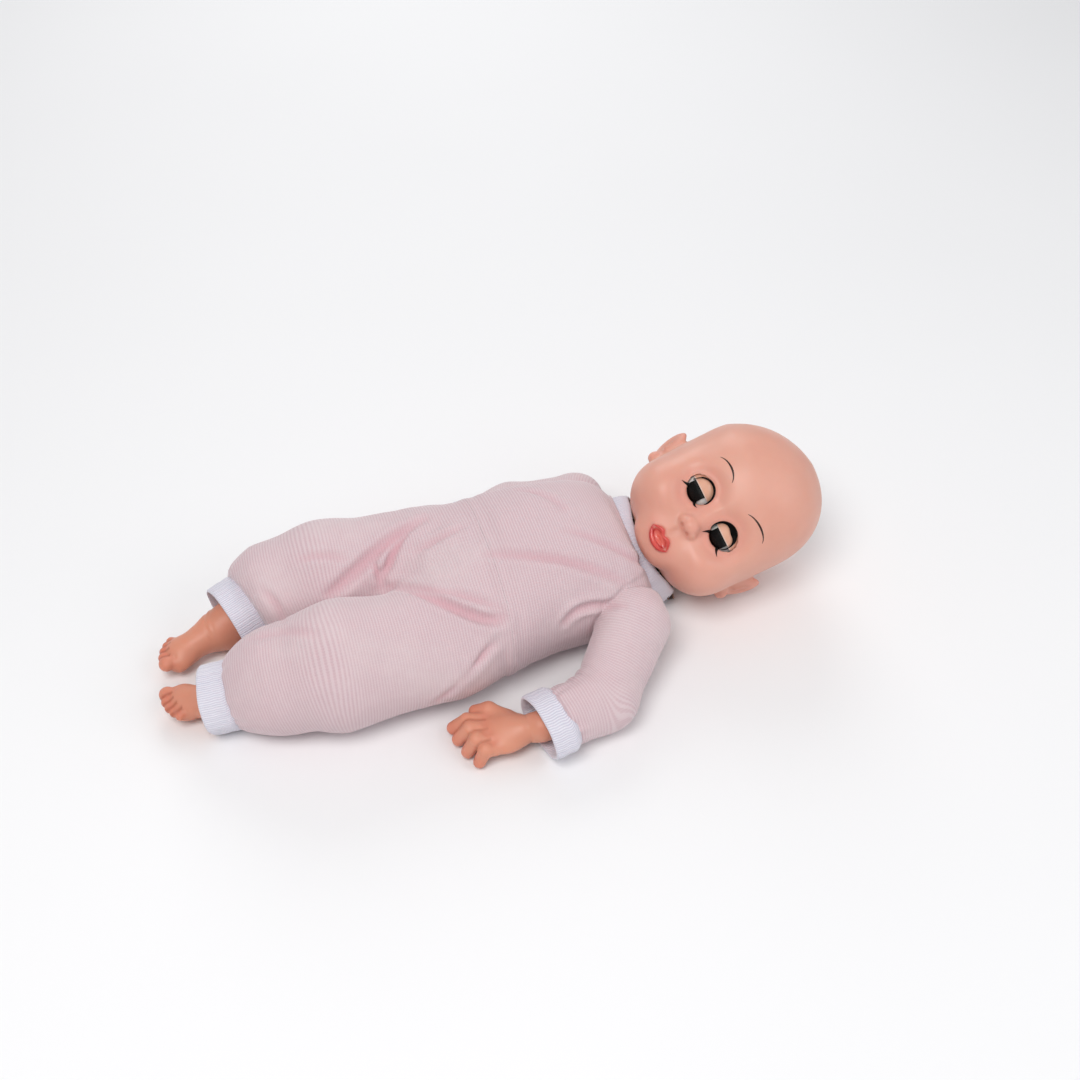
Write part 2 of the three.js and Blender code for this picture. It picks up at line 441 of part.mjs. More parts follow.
function handForm(side) {
  const left = side === "left";
  const palm = left ? [-34, -80, 9.5] : [-35, 69.2, 8.8];
  const yaw = left ? -0.05 : -0.02; // turn of the hand about the vertical
  const m = new THREE.Matrix4().makeRotationZ(yaw).setPosition(v3(palm));
  const at0 = (x, y, z) => { const p = new THREE.Vector3(x, left ? y : -y, z).applyMatrix4(m); return [p.x, p.y, p.z]; };
  const wrist = left ? [-17, -85, 13.6] : [-17, 66.6, 11.8];
  const spread = left ? 1 : 0.86;
  const out = [taper(wrist, 6.8, at0(-1, 0, 0), 7.4, 8, 2), ball([palm[0], palm[1], palm[2]], [12, 13.2 * spread, 6.6], 10, 6)];
  // index, middle, ring, little, then the thumb nearest the body
  const tips = left
    ? [[-20.5, 12.5, -4.2], [-20.5, 5, -4.6], [-18, -3.5, -4.8], [-13.5, -11.5, -4.9]]
    : [[-20.5, 9.8, -4.2], [-21, 3.4, -4.6], [-19, -3.4, -4.8], [-15, -10, -4.9]];
  const roots = [[-7, 8.6, 0], [-8.5, 3.2, 0], [-8, -3, 0], [-6, -8.4, -0.5]];
  roots.forEach((r, i) => out.push(taper(at0(r[0], r[1] * spread, r[2]), 4.2, at0(...tips[i]), 3.5, 6, 2)));
  out.push(taper(at0(2, 9 * spread, 1), 4.6, at0(-9.5, (left ? 17 : 9.8), 0.6), 3.2, 6, 2));
  return out;
}

// ---------------------------------------------------------------- legs
for (const [side, l] of Object.entries(LEGS)) {
  const s = l.s;
  const hip = [HIP.x, HIP.centre + s * HIP.y, HIP.z];
  const dir = unit(l.knee, l.cuff);
  const past = along(l.cuff, l.end, 6);
  const root = along(l.knee, dir, 4);
  const axis = axisFrame(root, dir);
  const j = LEG_JOINT;
  const midline = s > 0 ? beyond([0, HIP.centre + 0.6, 0], [0, -1, 0]) : beyond([0, HIP.centre - 0.6, 0], [0, 1, 0]);
  const form = (k, tail) => join(taper(hip, HIP.r - k, l.knee, l.r1 - k, 12, 3), taper(l.knee, l.r1 - k, tail, l.r2 - k, 12, 2));
  let pant = cut(form(0, past), midline, below(0.2), beyond(l.cuff, l.end), form(CLOTH, past), yCylinder(HIP.x, HIP.z, HIP.clear, HIP.centre - s * 5, HIP.centre + s * HIP.mid, 24));
  node("pant_leg_" + side, pant, PINK, 0.95);
  node("ankle_cuff_" + side, cut(turned(tubeProfile(l.r2 - CLOTH, l.r2, GAP, 13.5), axisFrame(l.cuff, l.end), 20), below(0.3), midline), RIB, 0.9);
  // stuffed cloth thigh
  const k = CLOTH + GAP;
  let thigh = join(
    taper(hip, HIP.r - k - 1.6, l.knee, 21, 12, 3),
    turned([[0, -6], [j.cup + 2, -4], [j.cup, 3.4], [j.groove + 2.4, 4.6], [j.groove + 2.4, 7.4], [0, 7.4]], axis, 14),
  );
  thigh = cut(
    thigh,
    turned([[0, 0.2], [j.flange + GAP, 0.2], [j.flange + GAP, 4], [j.groove + GAP, 4.2], [j.groove + GAP, 30], [0, 30]], axis, 14),
    turned(tubeProfile(j.groove + 2.4, 60, 4.4, 60), axis, 14), turned(rodProfile(j.groove + 3, 7.4, 60), axis, 14),
    yCylinder(HIP.x, HIP.z, HIP.clear + GAP, HIP.centre - s * 5, HIP.centre + s * (HIP.mid + GAP), 24),
    s > 0 ? beyond([0, HIP.centre + 0.6 + k, 0], [0, -1, 0]) : beyond([0, HIP.centre - 0.6 - k, 0], [0, 1, 0]),
    below(0.2 + k),
  );
  node("thigh_" + side, thigh, COTTON, 0.95);
  node("leg_tie_" + side, turned(tubeProfile(j.groove + 2.7, j.groove + 3.9, 4.8, 7.2), axis, 14), NYLON, 0.5);
  // vinyl lower leg and foot
  const reach = v3(l.cuff).distanceTo(v3(root)) + 8;
  const bar = turned([[0, 0.6], [j.flange, 0.6], [j.flange, 3.6], [j.groove, 4], [j.groove, 7.9], [13.2, 11], [13, 20], [10.8, reach - 10], [10.2, reach], [7, reach + 8], [0, reach + 10]], axis, 14);
  node("lower_leg_" + side, cut(join(bar, ...footForm(side)), below(0.6)), SKIN, 0.45);
}

function footForm(side) {
  const left = side === "left";
  const heel = left ? [-160, -23.5, 13.5] : [-153, 24, 13.5];
  const ballOf = left ? [-176, -15.5, 10.5] : [-174, 17.5, 10.5];
  const m = new THREE.Matrix4().makeRotationZ(left ? 0.12 : -0.08).setPosition(v3(ballOf));
  const out = [taper(heel, 10, ballOf, 7.6, 12, 2, 1.12, 0.95)];
  const toes = [[-8.2, 7.4, 3.6], [-9, 3.2, 2.9], [-8.6, -0.8, 2.7], [-7.4, -4.4, 2.5], [-5.6, -7.6, 2.3]];
  for (const [x, y, r] of toes) {
    const y0 = left ? y : -y;
    const p = new THREE.Vector3(x, y0, 0.2).applyMatrix4(m), q = new THREE.Vector3(0, y0 * 0.8, 0).applyMatrix4(m);
    out.push(taper([q.x, q.y, q.z], r + 0.6, [p.x, p.y, p.z], r, 6, 2));
  }
  return out;
}

export default group;
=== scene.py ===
# Looks of the soft-bodied baby doll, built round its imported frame. Metres outside, millimetres inside the shape functions.
import math
import bpy
import bmesh
import numpy as np
from mathutils import Matrix, Vector
from mathutils.kdtree import KDTree


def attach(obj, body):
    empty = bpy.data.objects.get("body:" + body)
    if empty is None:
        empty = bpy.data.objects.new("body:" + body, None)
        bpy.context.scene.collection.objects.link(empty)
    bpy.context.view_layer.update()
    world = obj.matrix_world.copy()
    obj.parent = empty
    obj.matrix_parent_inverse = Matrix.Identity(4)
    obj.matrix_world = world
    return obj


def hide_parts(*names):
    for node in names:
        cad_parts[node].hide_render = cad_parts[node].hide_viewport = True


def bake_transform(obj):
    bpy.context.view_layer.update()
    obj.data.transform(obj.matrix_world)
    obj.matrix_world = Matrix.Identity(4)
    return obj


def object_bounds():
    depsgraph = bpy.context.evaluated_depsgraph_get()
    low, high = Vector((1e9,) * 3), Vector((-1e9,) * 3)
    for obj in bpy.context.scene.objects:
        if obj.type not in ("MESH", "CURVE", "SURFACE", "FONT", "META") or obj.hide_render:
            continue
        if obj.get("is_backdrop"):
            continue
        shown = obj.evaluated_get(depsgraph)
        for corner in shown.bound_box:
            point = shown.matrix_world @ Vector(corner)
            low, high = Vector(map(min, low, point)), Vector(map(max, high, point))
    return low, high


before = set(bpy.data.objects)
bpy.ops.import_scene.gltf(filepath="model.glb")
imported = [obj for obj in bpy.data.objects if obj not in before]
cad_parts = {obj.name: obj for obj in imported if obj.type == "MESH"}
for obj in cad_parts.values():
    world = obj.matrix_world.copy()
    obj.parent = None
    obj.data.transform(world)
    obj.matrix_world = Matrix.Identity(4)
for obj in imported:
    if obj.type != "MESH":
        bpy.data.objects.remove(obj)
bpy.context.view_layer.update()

F32 = np.float32
scene = bpy.context.scene

# ---------------------------------------------------------------- the doll's frames, mm
HEAD_C = np.array([112.5, -0.2, 48.2])
UP = np.array([0.9155, -0.054, 0.399]); UP /= np.linalg.norm(UP)
FWD = np.array([-0.332, -0.663, 0.671]); FWD -= FWD @ UP * UP; FWD /= np.linalg.norm(FWD)
LFT = -np.cross(UP, FWD)
if LFT[1] > 0: LFT = -LFT
BCK = -FWD
HEAD_R = np.stack([LFT, BCK, UP], 1)  # columns: head x, y, z in the doll's frame
NECK = HEAD_C + BCK * 3 - UP * 55
EYE_L, EYE_Y, EYE_Z = 12.5, -24.2, -8.9
OPEN = 6.85  # radius of the opening over each eye

SHO = {"left": np.array([44, -48, 27.0]), "right": np.array([44, 48, 27.0])}
ARM = {
    "left": dict(s=-1, elbow=[18, -80, 16.5], cuff=[-6, -85, 15.5], end=[-15, -86, 14.5], r0=18, r1=16, r2=14.8, wide=1.28, tall=0.9),
    "right": dict(s=1, elbow=[12, 61, 16.6], cuff=[-6, 64.6, 13.2], end=[-15, 66.2, 12.4], r0=15.4, r1=15.0, r2=11.6, wide=1.04, tall=0.98),
}
HIPC = -4.0
HIP = {"left": np.array([-52, -33, 29.2]), "right": np.array([-52, 25, 29.2])}
LEG = {
    "left": dict(s=-1, knee=[-102, -33.4, 30.2], cuff=[-154, -25.5, 17.8], end=[-0.97, 0.15, -0.19], r0=28.6, r1=29.8, r2=17.6),
    "right": dict(s=1, knee=[-97, 26.4, 29.2], cuff=[-137, 27, 19.8], end=[-0.92, -0.33, -0.17], r0=28.6, r1=28.4, r2=20),
}
A = np.array

# ---------------------------------------------------------------- shape functions
def dot(p, q): return p[..., 0] * q[0] + p[..., 1] * q[1] + p[..., 2] * q[2]
def norm(p): return np.sqrt(p[..., 0] ** 2 + p[..., 1] ** 2 + p[..., 2] ** 2)
def smin(a, b, k):
    h = np.clip(0.5 + 0.5 * (b - a) / k, 0, 1)
    return b * (1 - h) + a * h - k * h * (1 - h)
def smax(a, b, k): return -smin(-a, -b, k)
def cone(P, a, b, ra, rb):
    a, b = A(a, F32), A(b, F32)
    pa = P - a; ba = b - a
    h = np.clip(dot(pa, ba) / F32(ba @ ba), 0, 1)
    return norm(pa - h[..., None] * ba) - (ra + (rb - ra) * h)
def chain(P, pts, radii, k=0.0):
    out = None
    for i in range(len(pts) - 1):
        d = cone(P, pts[i], pts[i + 1], radii[i], radii[i + 1])
        out = d if out is None else (smin(out, d, k) if k else np.minimum(out, d))
    return out
def ell(P, c, r, R=None):
    q = P - A(c, F32)
    if R is not None: q = q @ A(R, F32)
    r = A(r, F32)
    k0 = norm(q / r); k1 = norm(q / (r * r))
    return k0 * (k0 - 1) / np.maximum(k1, 1e-6)
def bump(d, w): return np.exp(-(d / w) ** 2)
def rot(axis, deg):
    return np.array(Matrix.Rotation(math.radians(deg), 3, axis))

def nets(f, lo, hi, h, steps=3, axes=None):
    """A quad mesh on the surface f = 0, with its points moved onto the surface. axes may give the grid's own uneven lines."""
    lo, hi = A(lo, float), A(hi, float)
    if axes is None:
        n = np.ceil((hi - lo) / h).astype(int) + 1
        ax = [(lo[i] + h * np.arange(n[i])).astype(F32) for i in range(3)]
    else:
        ax = [A(a, F32) for a in axes]; n = A([len(a) for a in ax])
    V = np.empty(tuple(n), F32)
    for s in range(0, n[0], 24):  # slabs keep the memory small
        P = np.stack(np.meshgrid(ax[0][s:s + 24], ax[1], ax[2], indexing="ij"), -1)
        V[s:s + 24] = f(P)
    ins = V < 0
    c = [ins[i:n[0] - 1 + i, j:n[1] - 1 + j, k:n[2] - 1 + k] for i in (0, 1) for j in (0, 1) for k in (0, 1)]
    tot = np.sum(np.stack([x.astype(np.int8) for x in c]), 0)
    act = (tot > 0) & (tot < 8)
    ids = np.full(act.shape, -1, int)
    cells = np.argwhere(act)
    ids[act] = np.arange(len(cells))
    off = A([[i, j, k] for i in (0, 1) for j in (0, 1) for k in (0, 1)])
    vals = np.stack([V[cells[:, 0] + o[0], cells[:, 1] + o[1], cells[:, 2] + o[2]] for o in off], 1)
    acc = np.zeros((len(cells), 3)); cnt = np.zeros(len(cells))
    for a in range(8):
        for b in range(a + 1, 8):
            if np.abs(off[a] - off[b]).sum() != 1: continue
            m = (vals[:, a] < 0) != (vals[:, b] < 0)
            t = vals[m, a] / (vals[m, a] - vals[m, b])
            acc[m] += off[a] + (off[b] - off[a]) * t[:, None]; cnt[m] += 1
    pts = cells + acc / cnt[:, None]
    pts = np.stack([np.interp(pts[:, i], np.arange(n[i]), ax[i]) for i in range(3)], 1)
    quads = []
    for axis in range(3):
        o = [1, 2] if axis == 0 else ([0, 2] if axis == 1 else [0, 1])
        sl = [slice(None)] * 3; sl[axis] = slice(0, -1)
        sh = [slice(None)] * 3; sh[axis] = slice(1, None)
        a, b = ins[tuple(sl)], ins[tuple(sh)]
        e = np.argwhere(a != b)
        e = e[(e[:, o[0]] > 0) & (e[:, o[1]] > 0) & (e[:, o[0]] < n[o[0]] - 1) & (e[:, o[1]] < n[o[1]] - 1)]
        flip = a[tuple(e.T)]
        def cell(d0, d1):
            q = e.copy(); q[:, o[0]] -= d0; q[:, o[1]] -= d1
            return ids[tuple(q.T)]
        q = np.stack([cell(1, 1), cell(0, 1), cell(0, 0), cell(1, 0)], 1)
        if axis == 1: flip = ~flip
        q[~flip] = q[~flip][:, ::-1]
        quads.append(q)
    quads = np.concatenate(quads)
    p = pts
    for _ in range(steps):
        e = 0.05
        P = p.astype(F32)
        v = f(P).astype(float)
        g = np.stack([(f(P + A(d, F32) * e) - f(P - A(d, F32) * e)) / (2 * e) for d in np.eye(3)], 1).astype(float)
        g2 = np.maximum((g ** 2).sum(1), 0.09)
        step = -(v / g2)[:, None] * g
        L = np.linalg.norm(step, axis=1)
        step *= np.minimum(1, 0.6 * h / np.maximum(L, 1e-9))[:, None]
        p = p + step
    return p, quads

def mesh(name, verts, faces, mm=True):
    me = bpy.data.meshes.new(name)
    v = np.asarray(verts, float) * (0.001 if mm else 1)
    faces = faces.tolist() if isinstance(faces, np.ndarray) else faces
    me.from_pydata(v.tolist(), [], faces)
    me.validate()
    me.update()
    me.polygons.foreach_set("use_smooth", [True] * len(me.polygons))
    o = bpy.data.objects.new(name, me)
    scene.collection.objects.link(o)
    return o

def attr(o, name, values):
    a = o.data.attributes.get(name) or o.data.attributes.new(name, "FLOAT", "POINT")
    a.data.foreach_set("value", np.asarray(values, np.float32).ravel())
def points(o):
    v = np.empty(len(o.data.vertices) * 3); o.data.vertices.foreach_get("co", v)
    return v.reshape(-1, 3) * 1000

# ---------------------------------------------------------------- materials
def lin(r, g, b): return tuple(((c / 255) / 12.92 if c / 255 <= 0.04045 else ((c / 255 + 0.055) / 1.055) ** 2.4) for c in (r, g, b)) + (1,)

class Mat:
    def __init__(self, name, rough=0.5, metal=0.0, **sockets):
        self.m = bpy.data.materials.new(name); self.m.use_nodes = True
        self.t = self.m.node_tree
        self.b = self.t.nodes["Principled BSDF"]
        self.b.inputs["Roughness"].default_value = rough
        self.b.inputs["Metallic"].default_value = metal
        for k, v in sockets.items():
            self.b.inputs[k.replace("_", " ")].default_value = v
    def node(self, kind, **k):
        n = self.t.nodes.new(kind)
        for a, b in k.items(): setattr(n, a, b)
        return n
    def put(self, socket, v):
        if isinstance(v, bpy.types.NodeSocket): self.t.links.new(v, socket)
        else: socket.default_value = v
    def math(self, op, a, b=None, c=None, clamp=False):
        n = self.node("ShaderNodeMath", operation=op, use_clamp=clamp)
        for i, v in enumerate((a, b, c)):
            if v is not None: self.put(n.inputs[i], v)
        return n.outputs[0]
    def attr(self, name):
        return self.node("ShaderNodeAttribute", attribute_name=name).outputs["Fac"]
    def coords(self):
        return self.node("ShaderNodeTexCoord").outputs["Object"]
    def noise(self, scale, detail=3, rough=0.55, vec=None, out="Fac"):
        n = self.node("ShaderNodeTexNoise")
        n.inputs["Scale"].default_value = scale; n.inputs["Detail"].default_value = detail; n.inputs["Roughness"].default_value = rough
        self.put(n.inputs["Vector"], vec if vec is not None else self.coords())
        return n.outputs[out]
    def range(self, v, a, b, c=0.0, d=1.0):
        n = self.node("ShaderNodeMapRange"); n.interpolation_type = "SMOOTHSTEP"
        self.put(n.inputs[0], v)
        for i, x in enumerate((a, b, c, d)): n.inputs[i + 1].default_value = x
        return n.outputs[0]
    def mix(self, fac, a, b, blend="MIX"):
        n = self.node("ShaderNodeMix", data_type="RGBA", blend_type=blend)
        self.put(n.inputs["Factor"], fac); self.put(n.inputs[6], a); self.put(n.inputs[7], b)
        return n.outputs[2]
    def color(self, v): self.put(self.b.inputs["Base Color"], v)
    def rough(self, v): self.put(self.b.inputs["Roughness"], v)
    def bump(self, height, strength=0.3, distance=0.0005, normal=None):
        n = self.node("ShaderNodeBump"); n.inputs["Strength"].default_value = strength; n.inputs["Distance"].default_value = distance
        self.put(n.inputs["Height"], height)
        if normal is not None: self.put(n.inputs["Normal"], normal)
        self.put(self.b.inputs["Normal"], n.outputs[0])
        return n.outputs[0]

def vinyl(name, base, painted_shade, blush, rough=0.44, paint=False):
    """Rotocast vinyl: soft light under the skin, airbrushed colour, painted shade in recesses and gaps, faint
    orange-peel and handling marks.
    """
    m = Mat(name, rough)
    b = m.b
    b.inputs["Subsurface Weight"].default_value = 0.22
    b.inputs["Subsurface Radius"].default_value = (1.0, 0.35, 0.2)
    b.inputs["Subsurface Scale"].default_value = 0.004
    b.inputs["Specular IOR Level"].default_value = 0.42
    b.inputs["Coat Weight"].default_value = 0.06
    b.inputs["Coat Roughness"].default_value = 0.35
    cloud = m.noise(28, 4, 0.6)
    c = m.mix(m.range(cloud, 0.35, 0.7, 0.0, 0.55), lin(*base), lin(base[0] - 7, base[1] - 12, base[2] - 12))
    c = m.mix(m.math("MULTIPLY", m.attr("blush"), m.range(m.noise(90, 3), 0.2, 0.8, 0.75, 1.0), clamp=True), c, lin(*blush))
    # painted shade: a darker colour laid where the mesh marks recesses and gaps
    c = m.mix(m.attr("painted_shade"), c, lin(*painted_shade))
    r = m.range(m.noise(55, 4), 0.3, 0.75, rough - 0.05, rough + 0.08)
    if paint:  # lips and eye lines, laid on from distances kept in the mesh, so that they stay crisp
        d, low = m.attr("lip"), m.attr("low")
        d = m.math("ADD", d, m.math("MULTIPLY", m.math("SUBTRACT", m.noise(700, 2), 0.5), 0.35))
        fill = m.math("MULTIPLY", m.range(d, 0.35, -0.45), m.range(m.noise(300, 3), 0.2, 0.7, 0.9, 1.0))
        edge = m.math("MULTIPLY", m.range(d, -1.15, -0.3), m.math("ADD", 0.45, m.math("MULTIPLY", low, 0.55)), clamp=True)
        lipc = m.mix(edge, m.mix(m.attr("mouth"), lin(216, 84, 76), lin(226, 106, 92)), lin(178, 22, 30))
        c = m.mix(fill, c, lipc)
        r = m.math("ADD", r, m.math("MULTIPLY", fill, -0.26))
        c = m.mix(m.range(m.attr("line"), 0.35, 0.65), c, lin(12, 8, 7))
    m.color(c)
    m.rough(r)
    fine = m.math("ADD", m.math("MULTIPLY", m.noise(2600, 2), 0.6), m.math("MULTIPLY", m.noise(420, 3), 0.5))
    m.bump(fine, 0.12, 0.00012)
    return m.m

def knit(name, main, shade, light, pitch=1.42, depth=0.55, stitch=True):
    """Fine rib jersey: ribs run round the limb, with a stitch along each rib, fuzz and uneven dye."""
    m = Mat(name, 0.92)
    b = m.b
    b.inputs["Sheen Weight"].default_value = 0.35
    b.inputs["Sheen Roughness"].default_value = 0.45
    b.inputs["Specular IOR Level"].default_value = 0.18
    b.inputs["Subsurface Weight"].default_value = 0.06
    b.inputs["Subsurface Radius"].default_value = (1.0, 0.5, 0.45)
    b.inputs["Subsurface Scale"].default_value = 0.002
    rest = m.node("ShaderNodeAttribute", attribute_name="rest").outputs["Vector"]
    noise = lambda s, d=3, r=0.55: m.noise(s, d, r, rest)
    wander = m.math("MULTIPLY", m.math("SUBTRACT", noise(60, 3), 0.5), 2.2)
    v = m.math("ADD", m.attr("along"), m.math("MULTIPLY", wander, 0.35))
    rib = m.math("SINE", m.math("MULTIPLY", v, 2 * math.pi / pitch))
    ribh = m.range(rib, -0.9, 0.9)
    loop = m.math("SINE", m.math("ADD", m.math("MULTIPLY", m.attr("around"), 2 * math.pi / 1.05), m.math("MULTIPLY", rib, 1.3)))
    h = m.math("ADD", ribh, m.math("MULTIPLY", m.range(loop, -1, 1), 0.42 if stitch else 0.15))
    fuzz = noise(1500, 3, 0.7)
    h = m.math("ADD", h, m.math("MULTIPLY", fuzz, 0.5))
    c = m.mix(m.range(h, 0.35, 1.35), lin(*shade), lin(*main))
    c = m.mix(m.range(noise(22, 4, 0.6), 0.42, 0.75, 0.0, 0.5), c, lin(*light))
    c = m.mix(m.range(noise(320, 2), 0.62, 0.8, 0.0, 0.18), c, lin(*shade))
    # painted shade: the cloth in the folds turns a darker, stronger pink
    c = m.mix(m.math("MULTIPLY", m.attr("fold_shade"), 0.8, clamp=True), c, lin(main[0] - 6, main[1] - 40, main[2] - 34))
    m.color(c)
    m.bump(h, depth, 0.0004)
    return m.m

SKIN = vinyl("Doll vinyl face", (225, 166, 147), (176, 92, 68), (222, 126, 114), paint=True)
LIMB = vinyl("Doll vinyl limb", (219, 149, 123), (158, 74, 44), (212, 98, 78), 0.46)
PINK = knit("Romper rib knit", (217, 195, 199), (206, 177, 183), (223, 206, 207), depth=0.3)
WHITE = knit("White rib knit", (229, 227, 236), (206, 202, 216), (236, 234, 240), pitch=1.1, depth=0.3, stitch=False)

def plain(name, rgb, rough, metal=0.0, grain=900, strength=0.15, spread=10, **k):
    m = Mat(name, rough, metal, **k)
    n = m.noise(grain, 3)
    m.color(m.mix(m.range(m.noise(60, 4), 0.3, 0.7), lin(*rgb), lin(*[max(0, c - spread) for c in rgb])))
    m.rough(m.range(m.noise(120, 3), 0.25, 0.8, max(0.03, rough - 0.06), rough + 0.08))
    m.bump(n, strength, 0.0002)
    return m.m

def woven(name, rgb, shade, scale=1800):
    m = Mat(name, 0.95)
    m.b.inputs["Sheen Weight"].default_value = 0.2
    w = m.node("ShaderNodeTexWave", wave_type="BANDS", bands_direction="X"); w.inputs["Scale"].default_value = scale; m.put(w.inputs["Vector"], m.coords())
    w2 = m.node("ShaderNodeTexWave", wave_type="BANDS", bands_direction="Y"); w2.inputs["Scale"].default_value = scale; m.put(w2.inputs["Vector"], m.coords())
    h = m.math("ADD", m.math("MULTIPLY", w.outputs["Fac"], w2.outputs["Fac"]), m.math("MULTIPLY", m.noise(900, 3), 0.4))
    m.color(m.mix(m.range(h, 0.1, 1.0), lin(*shade), lin(*rgb)))
    m.bump(h, 0.4, 0.0003)
    return m.m

# ---------------------------------------------------------------- head
def head_box(P, c, r, back, n):
    x = np.abs(P[..., 0] - F32(c[0])) / F32(r[0])
    dy = P[..., 1] - F32(c[1])
    y = np.where(dy < 0, -dy / F32(r[1]), dy / F32(back))
    z = np.abs(P[..., 2] - F32(c[2])) / F32(r[2])
    return ((x ** F32(n) + y ** F32(n) + z ** F32(n) + F32(1e-9)) ** F32(1 / n) - 1) * F32(min(r))

LOWER_LIP = [(-7.7, -37.3), (-6.0, -39.3), (-3.1, -40.6), (0, -41.0), (3.1, -40.6), (5.6, -39.4), (7.1, -37.6)]
UPPER_LIP = [(-7.7, -37.3), (-5.6, -35.2), (-2.9, -33.8), (-0.2, -35.9), (2.6, -33.9), (5.1, -35.4), (7.1, -37.6)]
LOWER_R = [0.4, 0.95, 1.4, 1.6, 1.4, 0.95, 0.4]
UPPER_R = [0.4, 0.8, 1.15, 0.8, 1.15, 0.8, 0.4]

def face_form(P):
    x, y, z = P[..., 0], P[..., 1], P[..., 2]
    d = smin(head_box(P, (0, 2, 8), (39.0, 42, 40.4), 42, 2.25), head_box(P, (0, -3, -17), (38.2, 36, 30.6), 38, 2.8), 5)
    ax = np.abs(x)
    front = np.clip(-y / 10, 0, 1)
    d = smin(d, np.minimum(ell(P, (20.5, -23.5, -25.5), (13, 15.5, 12)), ell(P, (-20.5, -23.5, -25.5), (13, 15.5, 12))), 9)
    rr = np.hypot(ax - EYE_L, z - EYE_Z)
    d = d + (3.5 * np.exp(-(rr / 12.5) ** 4) - 0.4 * bump(rr - 8.5, 1.2)) * front
    d = d + 0.9 * bump(np.hypot(x, (z + 8) * 0.7), 7) * front  # between the eyes
    d = smin(d, cone(P, (0, -33.6, -9), (0.7, -38.6, -19.5), 3.4, 3.6), 6)
    d = smin(d, ell(P, (0.9, -40.7, -21.0), (4.6, 4.5, 4.0)), 2.2)
    d = smin(d, ell(P, (-3.0, -38.9, -22.4), (2.5, 3.0, 2.3)), 1.8)
    d = smin(d, ell(P, (4.8, -38.9, -22.4), (2.5, 3.0, 2.3)), 1.8)
    d = smax(d, -ell(P, (-1.8, -42.6, -24.6), (0.95, 1.7, 0.8)), 1.0)
    d = smax(d, -ell(P, (3.6, -42.6, -24.6), (0.95, 1.7, 0.8)), 1.0)
    d = smin(d, ell(P, (-0.2, -31.0, -37.6), (13.5, 7.8, 8.6)), 8)
    d = smin(d, ell(P, (0, -28.0, -43.6), (10.5, 7.0, 4.4)), 7)
    d = d + 5.2 * np.clip(-x / 39, 0, 1) * np.clip((z - 18) / 26, 0, 1)  # the crown slopes on the far side
    d = d + 0.5 * bump(np.hypot(x + 0.2, (z + 29.0) * 0.45), 1.6) * front  # philtrum
    return d

def face_y(x, z):
    """How far forward the bare face is at (x, z)."""
    x, z = np.atleast_1d(x).astype(float), np.atleast_1d(z).astype(float)
    lo, hi = np.full(x.shape, -52.0), np.full(x.shape, -5.0)
    for _ in range(26):
        m = (lo + hi) / 2
        v = face_form(np.stack([x, m, z], -1).astype(F32))
        lo = np.where(v > 0, m, lo); hi = np.where(v > 0, hi, m)
    return (lo + hi) / 2

def on_face(pts, lift=0.0):
    p = A(pts, float)
    return np.stack([p[:, 0], face_y(p[:, 0], p[:, 1]) - lift, p[:, 1]], 1)

def _spaced(pts, r, n):
    """The same outline through n points, so that its swell has no corners."""
    p = A(pts, float); t = np.linspace(0, 1, len(p)); s_ = np.linspace(0, 1, n)
    out = np.stack([np.interp(s_, t, p[:, i]) for i in (0, 1)] + [np.interp(s_, t, r)], 1)
    out[1:-1] = (out[:-2] + 2 * out[1:-1] + out[2:]) / 4
    return out[:, :2], list(out[:, 2])
LOWER_LIP, LOWER_R = _spaced(LOWER_LIP, LOWER_R, 13)
UPPER_LIP, UPPER_R = _spaced(UPPER_LIP, UPPER_R, 13)
LOW3, UP3 = on_face(LOWER_LIP, 0.35), on_face(UPPER_LIP, 0.2)
MOUTH_Y = float(face_y(-0.3, -37.8)[0])
EAR_R = rot("Z", -24) @ rot("Y", 13)

def ears(P):
    Q = P.copy(); Q[..., 0] = np.abs(Q[..., 0])
    e = ell(Q, (41.0, 7.0, -13.6), (2.9, 6.6, 11.0), EAR_R)
    e = smin(e, ell(Q, (40.0, 3.6, -23.2), (2.6, 3.2, 3.4)), 2.5)
    e = smax(e, -ell(Q, (43.9, 3.0, -12.4), (1.9, 3.9, 6.6), EAR_R), 2.2)
    e = smin(e, cone(Q, (42.0, 4.8, -7.5), (40.8, 2.4, -15.5), 0.8, 1.2), 2.0)
    return e

def eye_sdf(P, x0):
    r = np.hypot(P[..., 0] - x0, P[..., 2] - EYE_Z)
    return r

def head_form(P):
    base = face_form(P)
    d = smin(base, chain(P, LOW3, LOWER_R, 0.9), 0.6)
    d = smin(d, chain(P, UP3, UPPER_R, 0.9), 0.6)
    d = smax(d, -ell(P, (-0.3, MOUTH_Y - 0.2, -37.7), (5.0, 1.2, 1.9)), 0.7)
    d = smin(d, ell(P, (-0.2, MOUTH_Y + 1.5, -38.4), (3.6, 1.5, 1.3)), 0.7)
    d = smin(d, ears(P), 3.0)
    d = smin(d, cone(P, (0, 3, -38), (0, 3, -53.5), 15, 12.6), 3)
    x, y, z = P[..., 0], P[..., 1], P[..., 2]
    for s in (-1, 1):
        r = np.hypot(x - s * EYE_L, z - EYE_Z)
        d = smax(d, -np.maximum(r - OPEN, y + 20), 0.7)
        d = np.maximum(d, 12.0 - norm(P - A((s * EYE_L, EYE_Y, EYE_Z), F32)))
    inner = np.maximum(base + 2.8, -(z + 48))
    bore = np.maximum(np.hypot(x, y - 3) - 10, z + 42)
    d = np.maximum(d, -np.minimum(inner, bore))
    d = np.maximum(d, -(z + 54.4))
    return d

def to_doll(p):
    return np.asarray(p, float) @ HEAD_R.T + HEAD_C

def uneven(lo, hi, fine_lo, fine_hi, fine, coarse):
    """Grid lines that are close together between fine_lo and fine_hi and widen smoothly outside."""
    out = [lo]
    while out[-1] < hi:
        x = out[-1]; away = max(0.0, fine_lo - x, x - fine_hi)
        out.append(x + fine + (coarse - fine) * min(1.0, away / 12.0))
    return out

